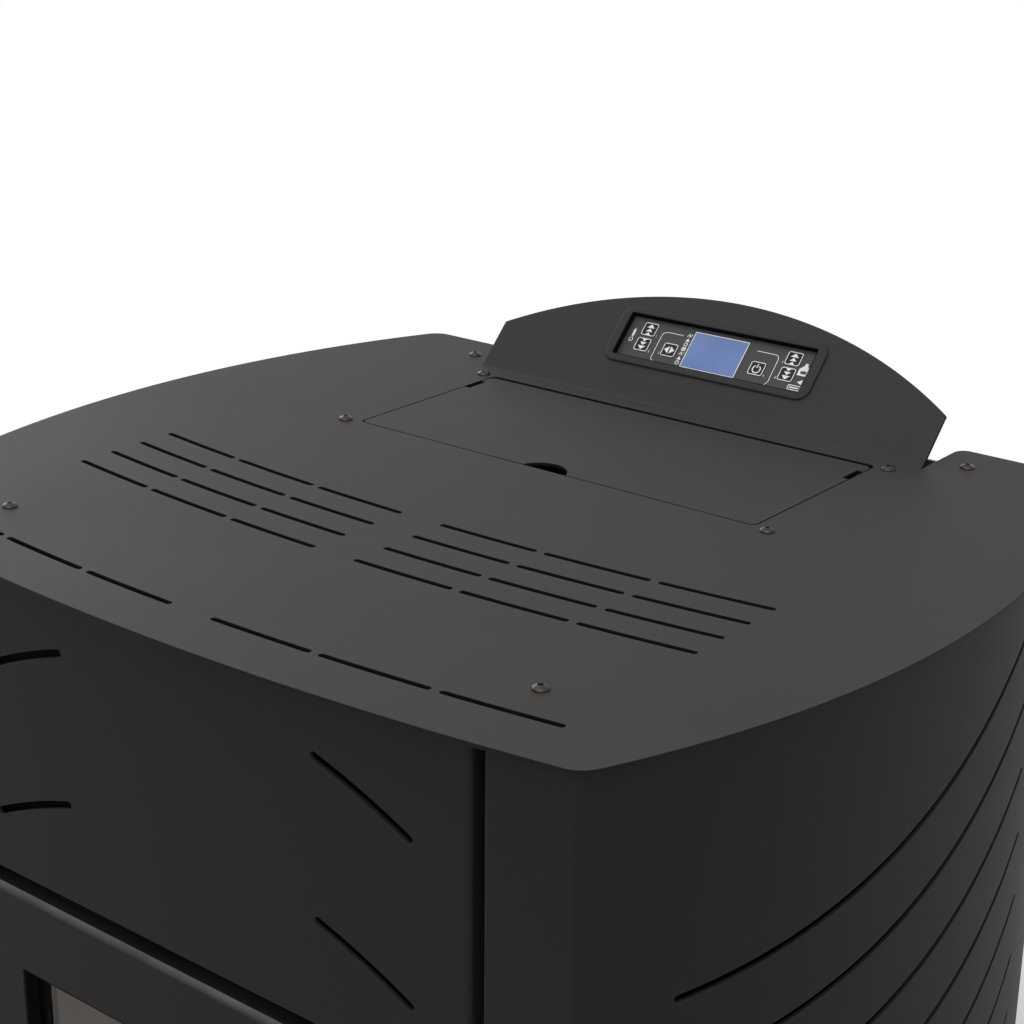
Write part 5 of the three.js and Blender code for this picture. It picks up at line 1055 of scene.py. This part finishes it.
# the upper panel's slots are arcs through an inner and an outer end: across, and down from the plate
upper_low, lower_high, slot_pitch = 768.2, 241.4, 81
slot_inner, slot_outer, slot_radius, slot_width = (82, 40.8), (140, 63.5), 360, 4
chord = Vector((slot_outer[0] - slot_inner[0], slot_inner[1] - slot_outer[1]))
back_off = math.sqrt(slot_radius ** 2 - chord.length_squared / 4)
square = Vector((chord.y, -chord.x)).normalized()
chord_middle = Vector(((slot_inner[0] + slot_outer[0]) / 2, -(slot_inner[1] + slot_outer[1]) / 2))
slot_centre = chord_middle + square * back_off
slot_angles = [math.degrees(math.atan2(-drop - slot_centre.y, x - slot_centre.x))
               for x, drop in (slot_outer, slot_inner)]
slots = []
for drop in (0, slot_pitch):
    right_slot = arc_slot(
        slot_centre.x, plate_top + slot_centre.y - drop, slot_radius, slot_width, *slot_angles, 14)
    slots += [right_slot, mirrored(right_slot)]
finished(front_sheet(upper_low, case_top, slots, upper_low + sheet), "upper_panel_sheet", "casing",
         case_paint, floor_frame, ["front_upper_panel"])
finished(front_sheet(base_top + seat, lower_high, [], lower_high), "lower_panel_sheet", "casing",
         case_paint, floor_frame, ["front_lower_panel"])

# a side panel in plan: its front return, the corner, the plate's curve and its rear return
side_rear, rear_return, side_corner = 460, 25, 6
strip_edge = front_half + upright_joint
corner_at = side_half(face_y, inset)
side_from, side_to, side_path_steps = face_y + side_corner, side_rear - side_corner, 60
side_places = [side_from + (side_to - side_from) * i / side_path_steps for i in range(1, side_path_steps)]
rear_x = side_half(side_rear, inset)
side_path = ([(strip_edge, face_y + fold_return)]
             + arc(strip_edge + fold_radius, face_y + fold_radius, fold_radius, 180, 270, 6)
             + soft_corner((corner_at - side_corner / 2, face_y), (corner_at, face_y),
                           (side_half(side_from, inset), side_from))
             + [(side_half(y, inset), y) for y in side_places]
             + soft_corner((side_half(side_to, inset), side_to), (rear_x, side_rear),
                           (rear_x - side_corner, side_rear))
             + [(rear_x - rear_return, side_rear)])
side_fold = Fold(side_path)

# eight slots on one curve, each further back and lower than the one before
side_slot_count, side_slot_radius, side_slot_width = 8, 508, 3.6
centre_y, centre_z, slot_front, slot_rear = 43.2, 389.2, 66, 327
step_back, step_down, rear_step_back = 13, 36.9, 7.5
side_slots = []
for i in range(side_slot_count):
    cy, cz = centre_y + step_back * i, plate_top + centre_z - step_down * i
    ends = [math.degrees(math.asin((y - cy) / side_slot_radius)) - 90
            for y in (slot_front + step_back * i, slot_rear + rear_step_back * i)]
    slot = arc_slot(cy, cz, side_slot_radius, side_slot_width, *ends, 40)
    side_slots.append([(side_fold.reach(lambda p: p[1] - y if p[0] > corner_at - 1 else -1), z)
                       for y, z in slot])
for side in ("right", "left"):
    blank = folded(side_fold, base_top - base_thickness, case_top, side_slots, sheet, panel_edge,
                   side == "left")
    finished(blank, f"side_{side}_sheet", "casing", case_paint, floor_frame,
             [f"side_panel_{side}"])

# ---------------------------------------------------------------- slot shade sheets
# A pan of 1 mm sheet behind the slots of the front and of each side, painted near black as the shade seen
# through the slots; it is spot welded to the panel by a flange along each edge and hides the works from the
# room.

# near-black paint that stands for shade: behind the slots and on the door leaf's flanks
painted_shade_black = new_material(
    "painted_shade_black", coat, 0.2, specular=0.1, Paint=(0.005, 0.005, 0.005, 1), Roughness=0.8,
    Clouding=0.1, Dust=0.02, Wear=0.05)
shade_sheet_gap, shade_sheet_thickness, shade_sheet_flange, shade_sheet_slope = 7, 1, 12, 7
touch = sheet + 0.1
stand = touch + shade_sheet_gap
slope_end = shade_sheet_flange + shade_sheet_slope

# in plan: a flange against the panel, the pan's standing part, and a flange again
shade_sheet_from, shade_sheet_to, pan_steps = 40, 432, 30
pan_from, pan_length = shade_sheet_from + slope_end, shade_sheet_to - shade_sheet_from - 2 * slope_end
side_shade_sheet = [(side_half(y, inset + touch), y) for y in (shade_sheet_from, shade_sheet_from + shade_sheet_flange)]
side_shade_sheet += [(side_half(y, inset + stand), y)
                for y in (pan_from + pan_length * i / pan_steps for i in range(pan_steps + 1))]
side_shade_sheet += [(side_half(y, inset + touch), y) for y in (shade_sheet_to - shade_sheet_flange, shade_sheet_to)]
front_reach = 162
front_right = [(front_reach - slope_end, face_y + stand), (front_reach - shade_sheet_flange, face_y + touch),
               (front_reach, face_y + touch)]
front_shade_sheet = mirrored(front_right) + front_right
side_shade_sheet_low, side_shade_sheet_high, front_shade_sheet_low, front_shade_sheet_high = 520, 936, 786, 930
for name, path, low, high in (("right", side_shade_sheet, side_shade_sheet_low, side_shade_sheet_high),
                              ("left", side_shade_sheet, side_shade_sheet_low, side_shade_sheet_high),
                              ("front", front_shade_sheet, front_shade_sheet_low, front_shade_sheet_high)):
    finished(folded(Fold(path), low, high, [], shade_sheet_thickness, 0.1, name == "left"),
             f"slot_shade_sheet_{name}", "casing", painted_shade_black, floor_frame)

# ---------------------------------------------------------------- back and base
# The back is a flat galvanised sheet, cut with vents and with openings for the flue, the air pipe and the
# inlet. The base is 3 mm plate in heat-proof paint with a hole for each foot's stud.

galvanised = new_material(
    "galvanised", steel_grain, 0.2, metallic=0.9, Metal=(0.3, 0.32, 0.33, 1), Roughness=0.45, Grain=60,
    Stain=0.35)
stove_paint = new_material(
    "stove_paint", coat, 0.3, specular=0.2, Paint=(0.017, 0.017, 0.017, 1), Roughness=0.75,
    Clouding=0.15, Dust=0.12, Wear=0.15)
dress(["back_panel"], galvanised, 0.3)
dress(["base_plate"], stove_paint, 0.3)

# ---------------------------------------------------------------- feet
# Four levelling feet: a moulded rubber-faced pad and neck on a threaded steel stud that stands up
# through the base plate. Each is turned as one solid in the pad's rubber finish, stud included.

foot_rubber = new_material(
    "foot_rubber", plastic_grain, 0.4, specular=0.3, Plastic=(0.014, 0.014, 0.014, 1), Roughness=0.7,
    Dust=0.3)
thread_start, thread_pitch, thread_count, thread_end = 20.7, 1.25, 17, 42.7
stud_radius, thread_root = 4, 3.5

# radius and height: the pad, its cone, the neck, then the stud's thread
foot_profile = [(18.8, 0), (19.6, 0.3), (20, 1), (20, 5.6), (19.3, 6.9), (12, 10.4), (9.6, 11.6),
                (9, 12.6), (9, 20.2), (8.5, thread_start), (stud_radius, thread_start)]
for i in range(thread_count):
    z = thread_start + i * thread_pitch
    foot_profile += [(stud_radius, z + 0.1), (thread_root, z + 0.55), (thread_root, z + 0.75),
                     (stud_radius, z + 1.15)]
foot_profile += [(3.2, thread_end)]
for name in ("front_left", "front_right", "rear_left", "rear_right"):
    low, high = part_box("foot_" + name)
    centre = (low + high) / 2
    finished(turned_rings(foot_profile, 40), "foot_pad_" + name, "casing", foot_rubber,
             Matrix.Translation((centre.x, centre.y, 0)) @ millimetres, ["foot_" + name])

# ---------------------------------------------------------------- fire door
# A 14 mm leaf of machined steel with rounded front edges, in the casing's coat painted a little darker
# still for shade, with a painted highlight along its rounded top edge and painted shade in black behind
# the rounding. A ceramic pane is clamped in its rebate from behind, and a rope seal runs round the leaf's
# back. It turns on two pins at the left.

door_low, door_high, door_thickness, door_corner = 330, 757.4, 14, 4
door_round, rounded_to = 6, 48
window_half, window_low, window_high, window_corner = 131.5, 388, 711, 1
glass_front, rebate_half, rebate_low, rebate_high = 8.4, 136.4, 382.6, 716.4
# the casing's coat painted darker still for shade; its large Dust paints a highlight on the rounded top
# edge
shaded_door_paint = new_material(
    "shaded_door_paint", coat, 0.12, specular=0.1, Paint=(0.0108, 0.0093, 0.0084, 1), Roughness=0.5,
    Clouding=0.07, Dust=0.5, Wear=0.1)
stand_up = Matrix(((mm, 0, 0, 0), (0, 0, -mm, front_edge + face_y * mm), (0, mm, 0, 0), (0, 0, 0, 1)))


def door_loop(shrink):
    """The leaf's outline, made smaller all round."""
    return rounded(-front_half + shrink, front_half - shrink, door_low + shrink, door_high - shrink,
                   max(door_corner - shrink, 1.5), 8)


def window_loop(grow=0.0):
    """The window's outline, grown all round."""
    return rounded(-window_half - grow, window_half + grow, window_low - grow, window_high + grow,
                   window_corner, 8)


# the leaf is one ring: the window's edge, the front face, the rounding, the sides, the back, the rebate
turns = [math.radians(a) for a in range(0, rounded_to + 1, 8)]
round_over = [(door_round * (math.sin(turns[-1]) - math.sin(a)), -door_round * (1 - math.cos(a)))
              for a in turns]
rebate_loop = rounded(-rebate_half, rebate_half, rebate_low, rebate_high, 3, 8)
rebate_floor = -glass_front + 0.2
loops = [window_loop(), window_loop(), window_loop(0.4)] + [door_loop(shrink) for shrink, _ in round_over]
depths = [rebate_floor, -0.4, 0] + [depth for _, depth in round_over]
painted_rows = len(loops) - 1
loops += [door_loop(0), door_loop(0.5), rebate_loop, rebate_loop]
depths += [-door_thickness + 0.5, -door_thickness, -door_thickness, rebate_floor]
leaf = finished(ring_stack(loops, depths), "door_leaf", "door", shaded_door_paint, stand_up,
                ["door_frame"])

# behind the rounded edge the leaf is painted black, as painted shade for the gaps round the door
leaf.data.materials.append(painted_shade_black)
row_faces = len(door_loop(0))
for face in leaf.data.polygons:
    face.material_index = int(painted_rows * row_faces <= face.index)

# a black lining between the window's edge and the glass darkens the window's reveal
reveal_black = new_material(
    "reveal_black", plastic_grain, 0.2, specular=0.05, Plastic=(0.003, 0.003, 0.003, 1), Roughness=0.9,
    Dust=0.02)
reveal_lining = lining(window_loop(-0.15), window_loop(-1.2), rebate_floor, -0.8)
finished(reveal_lining, "window_reveal_lining", "door", reveal_black, stand_up)

# the pane is clear, a little brown with smoke and hazy in places
pane, tree, skin = plain_material(
    "ceramic_glass", Metallic=0, Transmission_Weight=1, IOR=1.4, Specular_Tint=(1, 0.84, 0.74, 1))
smoke = texture(tree, add_node(tree, "TexCoord"), Scale=9, Detail=5)
film = two_tones(tree, smoke, 0.35, (0.56, 0.48, 0.4, 1), 0.7, (0.78, 0.71, 0.63, 1))
hazy = ranged(tree, smoke, "Fac", (0.3, 0.7), (0.01, 0.04))
wire(tree, (film, "Color", skin, "Base Color"), (hazy, "Result", skin, "Roughness"))
dress(["door_glass"], pane, 0)
dress(["glass_retainer"], stove_paint, 0.3)

rope, given, result, where = texture_group("rope_seal", Fibre=(0.03, 0.03, 0.03, 1))
lay = texture(rope, where, "TexWave", Scale=110, Distortion=1.5, Detail=2, bands_direction="DIAGONAL")
shade_of = ranged(rope, lay, "Fac", end=(0.5, 1.3))
rough_rope = ranged(rope, lay, "Fac", end=(0.98, 0.85))
fibre = add_node(rope, "VectorMath", operation="SCALE")
wire(rope, (given, "Fibre", fibre, 0), (shade_of, "Result", fibre, "Scale"), (fibre, 0, result, "Color"),
     (rough_rope, "Result", result, "Roughness"), (lay, "Fac", result, "Height"))
rope_seal = new_material("rope_seal", rope, 0.8, specular=0.1, Fibre=(0.03, 0.029, 0.027, 1))
dress(["door_gasket"], rope_seal, 2.5)
dress(["door_pin_upper", "door_pin_lower", "door_latch_cam", "latch_keeper"], bare_steel, 0.2)
dress(["door_handle"], bare_steel, 0.6)

# ---------------------------------------------------------------- ash drawer
# A steel tray, folded and welded, with a front of its own and a bow handle. It is coated as the casing
# and slides out to the front.

dress(["ash_drawer"], case_paint, 0.4)

# ---------------------------------------------------------------- firebox
# Welded from 4 mm plate and painted with heat-proof paint, with a bundle of air tubes through its top, a
# cast baffle under them, a pressed vermiculite fireback and the cast burn pot on its air box.

soot, given, result, where = texture_group("sooted", Base=(0.05, 0.045, 0.04, 1), Soot=0.5, Grain=350.0)
pits = texture(soot, where, Detail=4, Roughness=0.65)
smudge = texture(soot, where, Scale=11, Detail=5, Roughness=0.6)
smudge_spread = ranged(soot, smudge, "Fac", (0.35, 0.65))
soot_amount = joined(soot, "MULTIPLY", smudge_spread, "Result", given, "Soot")
sooty = overlaid(soot, given, "Base", soot_amount, (0.012, 0.011, 0.01, 1))
soot_rough = ranged(soot, soot_amount, 0, end=(0.75, 0.97))
wire(soot, (given, "Grain", pits, "Scale"), (sooty, "Result", result, "Color"),
     (soot_rough, "Result", result, "Roughness"), (pits, "Fac", result, "Height"))

hot_steel = new_material(
    "hot_steel", soot, 0.4, specular=0.2, Base=(0.036, 0.027, 0.022, 1), Soot=0.45, Grain=500)
cast_iron = new_material(
    "cast_iron", soot, 0.8, metallic=0.3, Base=(0.045, 0.041, 0.037, 1), Soot=0.5, Grain=700)
vermiculite = new_material(
    "vermiculite", soot, 1, specular=0.1, Base=(0.3, 0.245, 0.18, 1), Soot=0.55, Grain=420)
dress(["firebox"], hot_steel, 0.4)
dress(["heat_exchanger"], stove_paint, 0.3)
dress(["baffle_plate", "burn_pot"], cast_iron, 0.8)
dress(["fireback"], vermiculite, 0.8)
dress(["burn_pot_base"], hot_steel, 0.5)
dress(["igniter"], bare_steel, 0.2)
dress(["air_inlet_pipe"], galvanised, 0.3)

# ---------------------------------------------------------------- hopper and feed
# The hopper is galvanised sheet with a wire guard over its mouth. A gearmotor turns a steel screw in an
# inclined tube, which lifts the pellets to the painted chute.

dress(["hopper"], galvanised, 0.4)
dress(["hopper_grille"], bare_steel, 0.3)
dress(["auger_tube", "pellet_chute"], stove_paint, 0.3)
dress(["auger_screw"], bare_steel, 0.2)
dress(["auger_gearmotor"], galvanised, 0.6)

# ---------------------------------------------------------------- blowers and flue
# Pressed galvanised housings; the smoke blower draws through the firebox's rear into the flue collar,
# the room blower pushes air up past the firebox.

dress(["smoke_fan_housing", "smoke_fan_motor", "room_fan_housing"], galvanised, 0.4)
dress(["smoke_fan_rotor", "room_fan_rotor"], bare_steel, 0.15)
dress(["flue_collar"], stove_paint, 0.3)

# ---------------------------------------------------------------- electric parts
# The control board is a resin laminate with its parts. The mains inlet and its rocker switch are moulded
# in black plastic and set in the back panel.

dress(["control_board"], board_resin, 0.2)
dress(["power_inlet"], case_plastic, 0.6)
dress(["power_switch"], case_plastic, 0.5)
